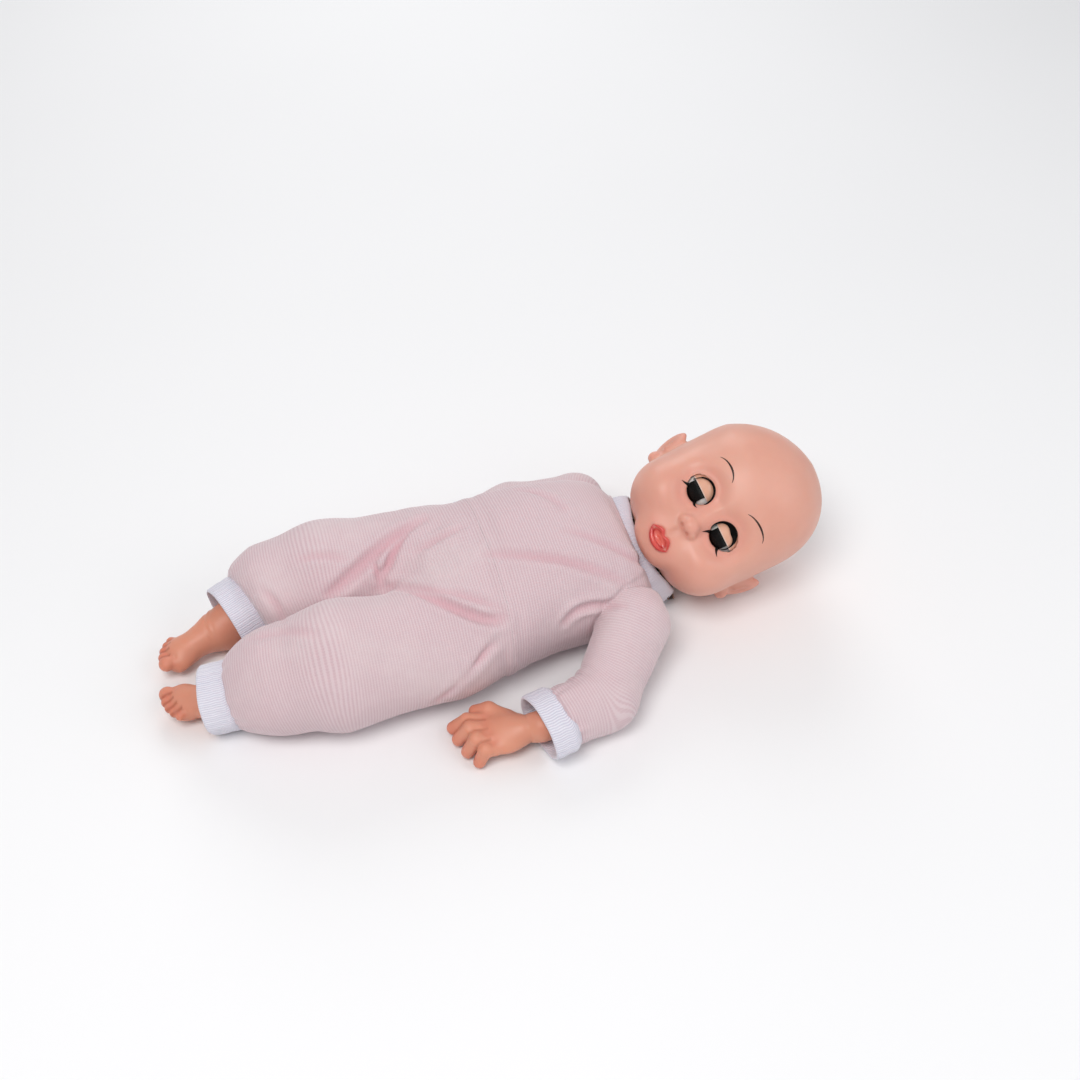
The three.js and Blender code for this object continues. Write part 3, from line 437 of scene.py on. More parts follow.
_f, _c = ((0.5, 1.25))
hv, hf = nets(head_form, (-49, -48, -56), (49, 47.5, 50.5), _f, axes=[uneven(-49, 49, -22, 22, _f, _c), uneven(-48, 47.5, -46, -24, _f, _c + 0.2), uneven(-56, 50.5, -43, -1, _f, _c)])
HEAD_LOCAL = hv
hw = to_doll(hv)
hw[:, 2] = np.where(hw[:, 2] < 0.15, 0.15 + (hw[:, 2] - 0.15) * 0.05, hw[:, 2])
head = mesh("doll_head", hw, hf)
P = hv.astype(F32)
x, y, z = hv.T
lipd = np.minimum(chain(P, LOW3, LOWER_R), chain(P, UP3, UPPER_R))
inside = ((x + 0.3) / 5.9) ** 2 + ((z + 37.6) / 2.9) ** 2
flat = np.stack([x, z], 1)
def chain2(pts, radii):
    best = np.full(len(flat), 50.0)
    for (a, b, ra, rb) in zip(pts[:-1], pts[1:], radii[:-1], radii[1:]):
        ba = b - a; h = np.clip(((flat - a) @ ba) / max(ba @ ba, 1e-6), 0, 1)
        best = np.minimum(best, np.linalg.norm(flat - a - h[:, None] * ba, axis=1) - (ra + h * (rb - ra)))
    return best
low2, up2 = chain2(LOWER_LIP, LOWER_R), chain2(UPPER_LIP, UPPER_R)
within = (np.sqrt(inside) - 1.0) * 2.9
lip = np.where(y < -20, np.clip(np.minimum(np.minimum(low2, up2), within), -4, 6), 6)
low = np.clip((up2 - low2) / 1.6 + 0.5, 0, 1)
mouth = np.clip(-within / 1.6, 0, 1)
line = np.zeros(len(x))
for sgn, half, drop in ((-1, 0.42, -1.8), (1, 0.42, -4.2)):  # a thin black line round each opening
    rr = np.hypot(x - sgn * EYE_L, z - EYE_Z); th = np.degrees(np.arctan2(z - EYE_Z, x - sgn * EYE_L))
    wide = half + 0.12 * np.exp(-((th - 85) / 60) ** 2)
    on = np.clip(0.5 + (wide - np.abs(rr - OPEN - 0.12)) / 0.5, 0, 1) * np.clip((z - EYE_Z - drop) / 1.2, 0, 1) * (y < -24)
    line = np.maximum(line, on)
r_eye = np.hypot(np.abs(x) - EYE_L, z - EYE_Z)
front = np.clip(-y / 12, 0, 1)
blush = 0.34 * np.exp(-np.clip(lipd, 0, 99) / 1.7) + 0.16 * bump(np.hypot(x + 10.5, z + 35.5), 4.0) + 0.1 * bump(np.hypot(x - 11, z + 39), 4.5)
blush += 0.26 * bump(r_eye - 8.5, 4.0) + 0.10 * bump(np.hypot(np.abs(x) - 23, z + 25), 13) + 0.16 * bump(np.hypot(x - 0.9, z + 21), 4.5)
blush *= front
ear_d = ears(P)
blush += 0.16 * np.clip(1 - ear_d / 1.5, 0, 1)
# painted shade: nostrils, the ear's hollow, the wall inside each eye opening and the neck's underside are darkened
painted_shade = 0.42 * np.clip(1 - np.minimum(ell(P, (-1.8, -42.0, -24.6), (0.95, 1.7, 0.8)), ell(P, (3.6, -42.0, -24.6), (0.95, 1.7, 0.8))) / 0.5, 0, 1) * (y < -30)
painted_shade += 0.22 * np.clip(1 - ell(np.stack([np.abs(x), y, z], 1).astype(F32), (43.7, 3.0, -12.4), (1.9, 3.9, 6.6), EAR_R) / 0.8, 0, 1) * (np.abs(x) > 37)
eye_c = np.minimum(norm(hv - A((EYE_L, EYE_Y, EYE_Z))), norm(hv - A((-EYE_L, EYE_Y, EYE_Z))))
painted_shade += 0.3 * ((r_eye < OPEN + 0.5) & (y < -25) & (eye_c > 11.5))
painted_shade += 0.5 * np.clip((-z - 47) / 3, 0, 1)
lip_edge = np.clip(1 - np.abs(inside - 1.15) / 0.35, 0, 1)
attr(head, "blush", np.clip(blush, 0, 0.9)); attr(head, "painted_shade", np.clip(painted_shade, 0, 0.9))
attr(head, "lip", lip); attr(head, "low", low); attr(head, "mouth", mouth); attr(head, "line", line)
head.data.materials.append(SKIN)
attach(head, "head"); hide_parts("head_shell")

# ---------------------------------------------------------------- painted brows; black lines round the eye openings, widened on the near eye by painted shadow
INK = plain("Painted brown line", (58, 30, 22), 0.38, grain=300, strength=0.05, spread=12)
BLACK = plain("Glossy black fibre", (5, 4, 4), 0.16, grain=2200, strength=0.12, spread=3)
BLACK.node_tree.nodes["Principled BSDF"].inputs["Specular IOR Level"].default_value = 0.2
RIM_LINE_SHADOW = plain("Black rim line and painted shadow", (10, 7, 7), 0.6, grain=900, strength=0.05, spread=4)
RIM_LINE_SHADOW.node_tree.nodes["Principled BSDF"].inputs["Specular IOR Level"].default_value = 0.12

def band(name, centre, side, half, up, thick, mat, body):
    """A closed thin strip along a line: half is its half width at each point, side and up its directions."""
    n = len(centre)
    v, f = [], []
    for i in range(n):
        v += [centre[i] - side[i] * half[i], centre[i] + up[i] * thick[i], centre[i] + side[i] * half[i], centre[i] - up[i] * thick[i]]
    for i in range(n - 1):
        for k in range(4):
            a, b = 4 * i + k, 4 * i + (k + 1) % 4
            f.append((a, b, b + 4, a + 4))
    f += [(3, 2, 1, 0), (4 * n - 4, 4 * n - 3, 4 * n - 2, 4 * n - 1)]
    o = mesh(name, to_doll(v), f)
    bm = bmesh.new(); bm.from_mesh(o.data); bmesh.ops.recalc_face_normals(bm, faces=bm.faces); bm.to_mesh(o.data); bm.free()
    o.data.materials.append(mat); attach(o, body)
    return o

def curve2(pts, n):
    """A smooth run of points through three or more points."""
    p = A(pts, float); t = np.linspace(0, 1, len(p)); s = np.linspace(0, 1, n)
    deg = min(3, len(p) - 1)
    return np.stack([np.polyval(np.polyfit(t, p[:, i], deg), s) for i in range(p.shape[1])], 1)

for nm, pts in (("brow_right", [(-23.4, 7.3), (-20.0, 9.3), (-15.7, 9.9), (-12.0, 8.9), (-9.2, 6.7)]), ("brow_left", [(8.4, 7.0), (12.2, 9.0), (17.3, 9.6), (21.4, 8.8), (24.6, 6.9)])):
    p2 = curve2(pts, 26)
    c3 = on_face(p2, 0.02)
    tan = np.gradient(c3, axis=0); tan /= np.linalg.norm(tan, axis=1)[:, None]
    upv = np.tile(A([0, -1.0, 0]), (26, 1)); side = np.cross(tan, upv); side /= np.linalg.norm(side, axis=1)[:, None]
    s = np.linspace(0, 1, 26)
    half = 0.06 + 0.42 * np.sin(np.pi * np.clip(s * 0.96 + 0.02, 0, 1)) ** 0.8
    b = band(nm, c3, side, half, upv, np.full(26, 0.12), INK, "head")

# a black band at each opening's rim: a thin strip, and on the near eye a wide crescent of painted shadow where the
# hollow behind the rim shows past the lid
for sgn, nm, w0, peak, spread in ((-1, "right", 0.14, 80, 60), (1, "left", 1.30, 80, 50)):
    th = np.radians(np.linspace(-12, 186, 72) if sgn < 0 else np.linspace(-34, 196, 84))
    n = len(th)
    w = w0 * np.exp(-((np.degrees(th) - peak) / spread) ** 2) + 0.16
    w *= np.clip(np.minimum(np.arange(n), np.arange(n)[::-1]) / 7, 0.1, 1)
    ro, ri = OPEN + 0.30, OPEN - 2 * w
    X, Z = sgn * EYE_L, EYE_Z
    outer = np.stack([X + ro * np.cos(th), face_y(X + ro * np.cos(th), Z + ro * np.sin(th)) - 0.10, Z + ro * np.sin(th)], 1)
    rm = OPEN - 0.05
    inner = np.stack([X + ri * np.cos(th), EYE_Y - np.sqrt(11.96 ** 2 - ri ** 2), Z + ri * np.sin(th)], 1)
    wall = np.stack([X + rm * np.cos(th), np.full(n, EYE_Y - math.sqrt(11.96 ** 2 - rm ** 2) - 0.05), Z + rm * np.sin(th)], 1)
    edge = np.stack([X + rm * np.cos(th), outer[:, 1] + 0.05, Z + rm * np.sin(th)], 1)
    back = A([0, 0.22, 0])
    rails = [outer, edge, wall, inner, inner + back, wall + back + A([0, 0.1, 0]), outer + A([0, 0.9, 0])]
    v = np.concatenate(rails); K = len(rails)
    f = [(k * n + i, k * n + i + 1, ((k + 1) % K) * n + i + 1, ((k + 1) % K) * n + i) for k in range(K) for i in range(n - 1)]
    f += [tuple(k * n for k in range(K)), tuple(k * n + n - 1 for k in range(K))[::-1]]
    o = mesh("eye_rim_line_shadow_" + nm, to_doll(v), f)
    bm = bmesh.new(); bm.from_mesh(o.data); bmesh.ops.recalc_face_normals(bm, faces=bm.faces); bm.to_mesh(o.data); bm.free()
    o.data.materials.append(RIM_LINE_SHADOW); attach(o, "head")

# ---------------------------------------------------------------- eyes
def ball_patch(name, c, r_out, r_in, xs, els, trim=None, ridge=None):
    """A closed curved shell over a patch of a ball: xs across, els the angles above the horizon."""
    def grid(r, extra):
        g = np.zeros((len(els), len(xs), 3))
        for i, e in enumerate(els):
            for j, xx in enumerate(xs):
                rr = r + (extra(xx, e) if extra else 0)
                q = math.sqrt(max(rr * rr - xx * xx, 0.01))
                g[i, j] = (c[0] + xx, c[1] - q * math.cos(e), c[2] + q * math.sin(e))
        return g
    go, gi = grid(r_out, ridge), grid(r_in, None)
    ne, nx = len(els), len(xs)
    v = np.concatenate([go.reshape(-1, 3), gi.reshape(-1, 3)]); N = ne * nx
    keep = np.ones((ne - 1, nx - 1), bool)
    if trim is not None:
        for i in range(ne - 1):
            for j in range(nx - 1):
                m = (go[i, j] + go[i + 1, j + 1]) / 2
                keep[i, j] = trim(m[0] - c[0], m[2] - c[2])
    f = []
    idx = lambda i, j: i * nx + j
    for i in range(ne - 1):
        for j in range(nx - 1):
            if not keep[i, j]: continue
            q = (idx(i, j), idx(i, j + 1), idx(i + 1, j + 1), idx(i + 1, j))
            f.append(q); f.append(tuple(N + k for k in q[::-1]))
            for (di, dj, a, b) in ((-1, 0, q[0], q[1]), (0, 1, q[1], q[2]), (1, 0, q[2], q[3]), (0, -1, q[3], q[0])):
                ii, jj = i + di, j + dj
                if not (0 <= ii < ne - 1 and 0 <= jj < nx - 1) or not keep[ii, jj]:
                    f.append((b, a, N + a, N + b))
    o = mesh(name, to_doll(v), f)
    bm = bmesh.new(); bm.from_mesh(o.data)
    bmesh.ops.delete(bm, geom=[w for w in bm.verts if not w.link_faces], context="VERTS")
    bmesh.ops.recalc_face_normals(bm, faces=bm.faces); bm.to_mesh(o.data); bm.free()
    return o

EYE_WHITE = Mat("Eye white", 0.08)
EYE_WHITE.b.inputs["Coat Weight"].default_value = 0.8; EYE_WHITE.b.inputs["Coat Roughness"].default_value = 0.04
EYE_WHITE.b.inputs["Subsurface Weight"].default_value = 0.1; EYE_WHITE.b.inputs["Subsurface Scale"].default_value = 0.002
EYE_WHITE.color(EYE_WHITE.mix(EYE_WHITE.range(EYE_WHITE.noise(160, 4), 0.45, 0.8, 0.0, 0.3), lin(232, 228, 224), lin(214, 200, 196)))
EYE_WHITE.bump(EYE_WHITE.noise(300, 2), 0.03, 0.0001)
IRIS = Mat("Iris", 0.05)
IRIS.b.inputs["Coat Weight"].default_value = 1.0; IRIS.b.inputs["Coat Roughness"].default_value = 0.03
ring = IRIS.attr("ring"); spoke = IRIS.attr("spoke")
ic = IRIS.mix(IRIS.range(IRIS.math("SINE", IRIS.math("MULTIPLY", spoke, 46.0)), -1, 1, 0.0, 0.6), lin(52, 92, 150), lin(120, 164, 205))
ic = IRIS.mix(IRIS.range(ring, 0.78, 0.98), ic, lin(16, 26, 48)); ic = IRIS.mix(IRIS.range(ring, 0.44, 0.38), ic, lin(6, 6, 8))
IRIS.color(ic); IRIS.bump(IRIS.noise(800, 2), 0.05, 0.0001)
LID = vinyl("Painted lid", (229, 168, 142), (190, 110, 84), (214, 112, 92), 0.34)
LID_EDGE_HIGHLIGHT = plain("Lid edge painted highlight", (240, 208, 194), 0.3, grain=900, strength=0.05, spread=6)

for side, s in (("left", 1), ("right", -1)):
    c = A((s * EYE_L, EYE_Y, EYE_Z)); body = "eye_" + side
    # the ball, flattened behind round its hinge barrel
    def ball_form(P, c=c):
        d = norm(P - A(c, F32)) - 10.6
        hx = np.hypot(P[..., 1] - F32(c[1]), P[..., 2] - F32(c[2]))
        d = smax(d, -(hx - 1.15), 0.3)
        back = A((0, math.cos(math.radians(30.9)), -math.sin(math.radians(30.9))))
        t = dot(P - A(c, F32), back); q = P - A(c, F32) - t[..., None] * A(back, F32)
        d = smax(d, -np.maximum(norm(q) - 1.6, -(t - 3)), 0.3)
        return smax(d, t - 9.9, 0.8)
    v, f = nets(ball_form, c - 11.5, c + 11.5, 0.8, 3)
    eb = mesh("eye_ball_" + side, to_doll(v), f); eb.data.materials.append(EYE_WHITE.m)
    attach(eb, body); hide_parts("eyeball_" + side)
    # lid: a painted shell with a rolled edge, and a pale band along that edge as a painted highlight
    shut = 3.5 if s > 0 else 0.0  # degrees: the near eye is a little further closed
    els = np.radians(np.linspace(3.5 - shut, 90, 40)); xs = np.linspace(-9.2, 9.2, 34)
    lid = ball_patch("eye_lid_" + side, c, 11.32, 10.8, xs, els, ridge=lambda xx, e: 0.12 * math.exp(-((math.degrees(e) - 3.5 + shut) / 2.2) ** 2))
    lp = (points(lid) - HEAD_C) @ HEAD_R
    el = np.degrees(np.arctan2(lp[:, 2] - c[2], -(lp[:, 1] - c[1])))
    # painted shade: the lid darkens towards the top, where it slips under the rim
    attr(lid, "blush", 0.35 * np.clip((el - 22) / 30, 0, 1)); attr(lid, "painted_shade", 0.12 * np.clip((el - 40) / 25, 0, 1)); attr(lid, "lip", 0 * el); attr(lid, "mouth", 0 * el)
    lid.data.materials.append(LID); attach(lid, body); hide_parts("eyelid_" + side)
    exs = np.linspace(-8.4, 8.4, 40)
    q = np.sqrt(11.4 ** 2 - exs ** 2); e0 = math.radians(3.4 - shut)
    ec = np.stack([c[0] + exs, c[1] - q * math.cos(e0), c[2] + q * math.sin(e0)], 1)
    upv = ec - c; upv /= np.linalg.norm(upv, axis=1)[:, None]
    tan = np.gradient(ec, axis=0); tan /= np.linalg.norm(tan, axis=1)[:, None]
    sd = np.cross(tan, upv)
    # painted highlight: a pale band laid along the lid's edge
    edge = band("lid_edge_highlight_" + side, ec, sd, np.full(40, 0.3), upv, np.full(40, 0.16), LID_EDGE_HIGHLIGHT, body)
    # lashes: a comb of stiff fibre whose hairs are set side by side
    shift = 1.2 if s < 0 else -0.2
    xs = np.linspace(-5.05 - shift, 5.05 - shift, 101); els = np.radians(np.linspace(2.2 - shut, -40 - 0.6 * shut, 34))
    lash = ball_patch("eye_lash_" + side, c, 11.5, 11.0, xs, els,
                      trim=lambda dx, dz: dx * dx + dz * dz < (OPEN + 0.1) ** 2 or dz > 0.0,
                      ridge=lambda xx, e: 0.09 * math.sin(xx * 2 * math.pi / 0.52))
    lash.data.materials.append(BLACK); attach(lash, body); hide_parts("eyelashes_" + side)
    tips = ([(-5.2, -3.6), (-6.9, -4.9), (-9.2, -6.0)], [(3.3, -5.0), (4.9, -5.9), (6.6, -5.2)]) if s < 0 else ([(-4.3, -4.4), (-5.6, -6.1), (-6.4, -8.3)], [(3.9, -4.9), (5.6, -6.4), (8.2, -7.2)])
    tips = [[(c[0] + a, c[2] + b) for a, b in tp] for tp in tips]
    for k, tp in enumerate(tips):
        p2 = curve2(tp, 12); t = np.linspace(0, 1, 12)
        dx, dz = p2[:, 0] - c[0], p2[:, 1] - c[2]
        y0 = c[1] - np.sqrt(np.maximum(11.6 ** 2 - dx ** 2 - dz ** 2, 4)); y1 = face_y(p2[:, 0], p2[:, 1]) - 0.45
        rr = np.hypot(dx, dz); k_ = np.clip((rr - OPEN + 1.4) / 1.5, 0, 1)
        yy = y0 * (1 - k_) + np.minimum(y0, y1) * k_
        c3 = np.stack([p2[:, 0], yy, p2[:, 1]], 1)
        tan = np.gradient(c3, axis=0); tan /= np.linalg.norm(tan, axis=1)[:, None] + 1e-9
        upv = np.tile(A([0, -1.0, 0]), (12, 1)); sd = np.cross(tan, upv); sd /= np.linalg.norm(sd, axis=1)[:, None] + 1e-9
        b = band(f"lash_tip_{side}_{k + 1}", c3, sd, 0.95 * (1 - t) ** 1.05 + 0.05, upv, 0.22 * (1 - t) + 0.05, BLACK, body)
    # iris under the lashes, seen when the eye opens
    rings, seg = 12, 48
    e0 = math.radians(-49)
    ax = A((0, -math.cos(e0), math.sin(e0))); ux = A((1.0, 0, 0)); uy = np.cross(ax, ux)
    v, rg, sp = [], [], []
    for i in range(rings + 1):
        a = math.radians(29.5) * i / rings
        for j in range(seg):
            t = 2 * math.pi * j / seg
            rr = 10.72 + 0.42 * math.cos(a / math.radians(29.5) * math.pi / 2)
            v.append(c + rr * (math.cos(a) * ax + math.sin(a) * (math.cos(t) * ux + math.sin(t) * uy))); rg.append(i / rings); sp.append(t if t <= math.pi else 2 * math.pi - t)
    f = [(i * seg + j, i * seg + (j + 1) % seg, (i + 1) * seg + (j + 1) % seg, (i + 1) * seg + j) for i in range(rings) for j in range(seg)]
    io = mesh("eye_iris_" + side, to_doll(v), f); attr(io, "ring", rg); attr(io, "spoke", sp)
    bm = bmesh.new(); bm.from_mesh(io.data); bmesh.ops.remove_doubles(bm, verts=bm.verts, dist=1e-7); bmesh.ops.recalc_face_normals(bm, faces=bm.faces)
    bm.to_mesh(io.data); bm.free()
    io.data.materials.append(IRIS.m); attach(io, body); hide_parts("iris_" + side)

# ---------------------------------------------------------------- vinyl hands and feet
FLANGE_ARM, GROOVE_ARM, FLANGE_LEG, GROOVE_LEG = 9.2, 7.2, 14.0, 11.4

def axis_of(a, b):
    z = A(b, float) - A(a, float); z /= np.linalg.norm(z)
    x = np.cross([0, 0, 1.0], z); x /= np.linalg.norm(x)
    return np.stack([x, np.cross(z, x), z], 1)

def turn_form(P, origin, R, profile):
    """Distance-like value of a turned form: profile is [(t, radius)] along the axis."""
    q = (P - A(origin, F32)) @ A(R, F32)
    t = q[..., 2]; r = np.hypot(q[..., 0], q[..., 1])
    pt, pr = A([p[0] for p in profile]), A([p[1] for p in profile])
    rad = np.interp(t, pt, pr).astype(F32)
    return np.maximum((r - rad) * 0.94, np.maximum(pt[0] - t, t - pt[-1])), t

class Local:
    """Points in a hand's or foot's own frame, mirrored for the doll's right side."""
    def __init__(self, c, yaw, left): self.c, self.R, self.m = A(c, F32), A(rot("Z", math.degrees(yaw)), F32), 1 if left else -1
    def into(self, P):
        q = (P - self.c) @ self.R
        return np.stack([q[..., 0], q[..., 1] * self.m, q[..., 2]], -1)
    def out(self, p):
        p = A(p, float); return self.c + self.R @ A([p[0], p[1] * self.m, p[2]])

def hand_parts(side):
    left = side == "left"
    L = Local([-34, -80, 9.5] if left else [-35, 69.2, 8.8], -0.05 if left else -0.02, left)
    s = 1 if left else 0.86
    roots = [[-6.5, 8.4 * s, 0.3], [-7.6, 3.0 * s, 0.8], [-7.2, -2.9 * s, 0.5], [-5.6, -8.2 * s, -0.2]]
    tips = [[-21.5, 12.0, -4.4], [-20.3, 5.0, -5.0], [-17.6, -3.2, -5.2], [-13.6, -10.7, -5.2]] if left else [[-21.2, 9.2, -4.4], [-20.6, 3.3, -5.0], [-18.2, -3.2, -5.2], [-14.4, -9.3, -5.2]]
    mids, fingers = [], []
    lift = [1.2, 2.6, 2.9, 2.4]
    for r, t, h in zip(roots, tips, lift):
        m = [r[0] + (t[0] - r[0]) * 0.56, r[1] + (t[1] - r[1]) * 0.52, r[2] + h * 0.62]
        mids.append(m); fingers.append((r, m, t))
    thumb = ([3.0, 7.6 * s, 0.2], [-3.4, (14.2 if left else 9.6), 1.2], [-9.6, (16.6 if left else 10.6), -0.6])
    return L, s, fingers, thumb, ([-17, -85, 13.6] if left else [-17, 66.6, 11.8])

def hand_form(side, a):
    L, s, fingers, thumb, wrist = hand_parts(side)
    R = axis_of(a["elbow"], a["end"]); reach = float(np.linalg.norm(A(a["end"], float) - A(a["elbow"], float)))
    prof = [(0.6, FLANGE_ARM), (3.6, FLANGE_ARM), (3.9, GROOVE_ARM), (7.6, GROOVE_ARM), (9.4, 8.7), (reach - 8, 8.2), (reach - 1, 7.5)]
    def f(P):
        bar, t = turn_form(P, a["elbow"], R, prof)
        wr = cone(P, a["end"], wrist, 7.3, 6.9)
        d = smin(bar, wr, 1.2)
        Q = L.into(P)
        palm = ell(Q, (0.6, 0, 0.2), (12.2, 12.6 * s, 6.4))
        wl = L.into(A(wrist, F32))
        pq = smin(palm, cone(Q, wl, (4, 0, 0.3), 7.0, 6.6), 5)
        # the back of the hand: a soft dome, dimpled at each knuckle
        d2 = pq
        radii = [(4.25, 3.95, 3.35), (4.35, 4.05, 3.45), (4.2, 3.95, 3.35), (3.9, 3.6, 3.05)]
        for (r, m, tp), (ra, rb, rc) in zip(fingers, radii):
            fg = smin(cone(Q, r, m, ra, rb), cone(Q, m, tp, rb, rc), 0.9)
            fg = fg + 0.28 * bump(norm(Q - A((m[0] + 0.4, m[1], m[2] - rb), F32)), 2.2)
            d2 = smin(d2, fg, 1.5)
        th = smin(cone(Q, thumb[0], thumb[1], 5.0, 4.2), cone(Q, thumb[1], thumb[2], 4.2, 3.2), 1.2)
        d2 = smin(d2, th, 2.2)
        for (r, m, tp) in fingers:  # knuckle dimples and joint creases
            d2 = d2 + 0.85 * bump(norm(Q - A((r[0] - 0.2, r[1], r[2] + 5.6), F32)), 1.7)
            u = A(tp, float) - A(m, float); u /= np.linalg.norm(u)
            tt = dot(Q - A(m, F32), u)
            near = np.exp(-(norm(Q - A(m, F32)) / 5.2) ** 4)
            d2 = d2 + 0.22 * bump(tt - 1.0, 0.42) * near
            c = A(tp) + u * 1.2 + A([0, 0, 2.7])  # the nail, a shallow plate with a cut edge
            nq = norm((Q - A(c, F32)) / A((2.5, 1.9, 1.6), F32))
            d2 = d2 + 0.20 * bump(nq - 1.0, 0.16) - 0.05 * np.clip(1 - nq, 0, 1)
        d = smin(d, d2, 2.6)
        wt = L.into(P)[..., 0]
        d = d + 0.45 * bump(wt - 12.2, 1.0) * np.exp(-((Q[..., 2] - 4) / 9) ** 2)  # crease at the wrist
        return smax(d, -(P[..., 2] - 0.5), 0.5)
    return f, L, fingers, thumb

def foot_parts(side):
    left = side == "left"
    heel = [-160, -23.5, 13.5] if left else [-153, 24, 13.5]
    L = Local([-176, -15.5, 10.5] if left else [-174, 17.5, 10.5], 0.12 if left else -0.08, left)
    return heel, L, [(-8.4, 7.2, 3.75), (-9.3, 2.7, 3.0), (-8.9, -1.3, 2.75), (-7.6, -4.9, 2.55), (-5.7, -8.1, 2.35)]

def foot_form(side, l):
    heel, L, toes = foot_parts(side)
    knee, cuff = A(l["knee"], float), A(l["cuff"], float)
    d0 = (cuff - knee) / np.linalg.norm(cuff - knee)
    root = knee + d0 * 4; R = axis_of(root, cuff); reach = float(np.linalg.norm(cuff - root)) + 8
    prof = [(0.6, FLANGE_LEG), (3.6, FLANGE_LEG), (3.9, GROOVE_LEG), (7.6, GROOVE_LEG), (10.6, 13.0), (20, 12.8), (reach - 10, 11.0), (reach, 10.4)]
    ankle = root + d0 * reach
    hl = L.into(A(heel, F32)).astype(float)
    al = L.into(A(ankle, F32)).astype(float)
    def f(P):
        bar, t = turn_form(P, root, R, prof)
        Q = L.into(P)
        d = smin(bar, cone(Q, al, (hl[0] - 1, hl[1], hl[2] + 0.2), 10.2, 9.6), 2.5)
        d = smin(d, ell(Q, (hl[0] + 2.5, hl[1], hl[2] - 3.0), (10.2, 9.2, 9.0)), 3)
        inst = cone(Q, (hl[0] - 2, hl[1], hl[2]), (0.5, 0, -0.2), 9.6, 6.6)
        pad = ell(Q, (-1.4, 0.6, -2.0), (8.5, 10.6, 7.0))
        d = smin(d, smin(inst, pad, 4), 4)
        for i, (x, y, r) in enumerate(toes):
            base = (x + 7.2, y * 0.82, -1.0)
            tip = (x, y, 0.2 - (3.9 - r) * 0.5)
            bulb = ell(Q, tip, (r * 1.08, r * (1.02 if i else 1.12), r * 0.98))
            toe = smin(cone(Q, base, tip, r + 0.2, r * 0.82), bulb, 0.8)
            d = smin(d, toe, 1.0)
            nq = norm((Q - A((x - r * 0.42, y, tip[2] + r * 0.80), F32)) / A((r * 0.50, r * 0.52, r * 0.5), F32))
            d = d + 0.17 * bump(nq - 1.0, 0.2)
            d = d + 0.35 * bump(norm((Q - A((x + r + 1.0, y * 0.93, r * 0.95), F32)) / A((0.6, 1.4, 1.0), F32)), 1.0)
        d = smax(d, -ell(Q, (hl[0] * 0.5, 10.2, -7.6), (11, 6, 6)), 3)  # arch
        for k, cc in enumerate((hl[0] - 7.5, hl[0] - 4.8)):  # folds over the ankle
            d = d + (0.5, 0.3)[k] * bump(Q[..., 0] - (cc + 0.06 * (Q[..., 1] - hl[1]) ** 2 * 0.4), 0.9) * np.clip((Q[..., 2] - hl[2] + 1) / 6, 0, 1)
        d = d - 0.10 * bump(Q[..., 1] - (0.3 if hl[1] < 0 else -0.3) + 0.0 * Q[..., 0], 0.35) * (Q[..., 2] < -2)  # mould line under the foot
        return smax(d, -(P[..., 2] - 0.7), 0.6)
    return f, L, toes, hl

for side, a in ARM.items():
    f, L, fingers, thumb = hand_form(side, a)
    c = A(a["elbow"], float)
    lo = np.minimum(c, L.c.astype(float)) - A([26, 22, 15]); hi = np.maximum(c, L.c.astype(float)) + A([14, 22, 13])
    lo[2] = -0.6
    v, q = nets(f, lo, hi, 0.62)
    v[:, 2] = np.maximum(v[:, 2], 0.45)
    o = mesh("vinyl_forearm_" + side, v, q)
    Q = L.into(v)
    blush = np.zeros(len(v)); painted_shade = np.zeros(len(v))
    for (r, m, tp) in fingers:
        blush += 0.45 * bump(norm(Q - A(tp)), 4.4) + 0.25 * bump(norm(Q - A((r[0], r[1], r[2] + 5))), 2.6)
    blush += 0.45 * bump(norm(Q - A(thumb[2])), 4.4)
    # where two fingers meet, painted shade darkens the gap
    dist = np.stack([np.minimum(cone(Q.astype(F32), r, m, 4.2, 4.0), cone(Q.astype(F32), m, tp, 4.0, 3.4)) for r, m, tp in fingers], 1)
    two = np.sort(dist, 1)
    painted_shade += 0.55 * np.clip(1 - (two[:, 1] - two[:, 0]) / 1.4, 0, 1) * (Q[:, 0] < -6.5) * np.clip(1 - two[:, 0] / 2, 0, 1)
    attr(o, "blush", np.clip(blush, 0, 0.8)); attr(o, "painted_shade", np.clip(painted_shade, 0, 0.8)); attr(o, "lip", 0 * blush); attr(o, "mouth", 0 * blush)
    o.data.materials.append(LIMB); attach(o, "forearm_" + side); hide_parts("forearm_" + side)

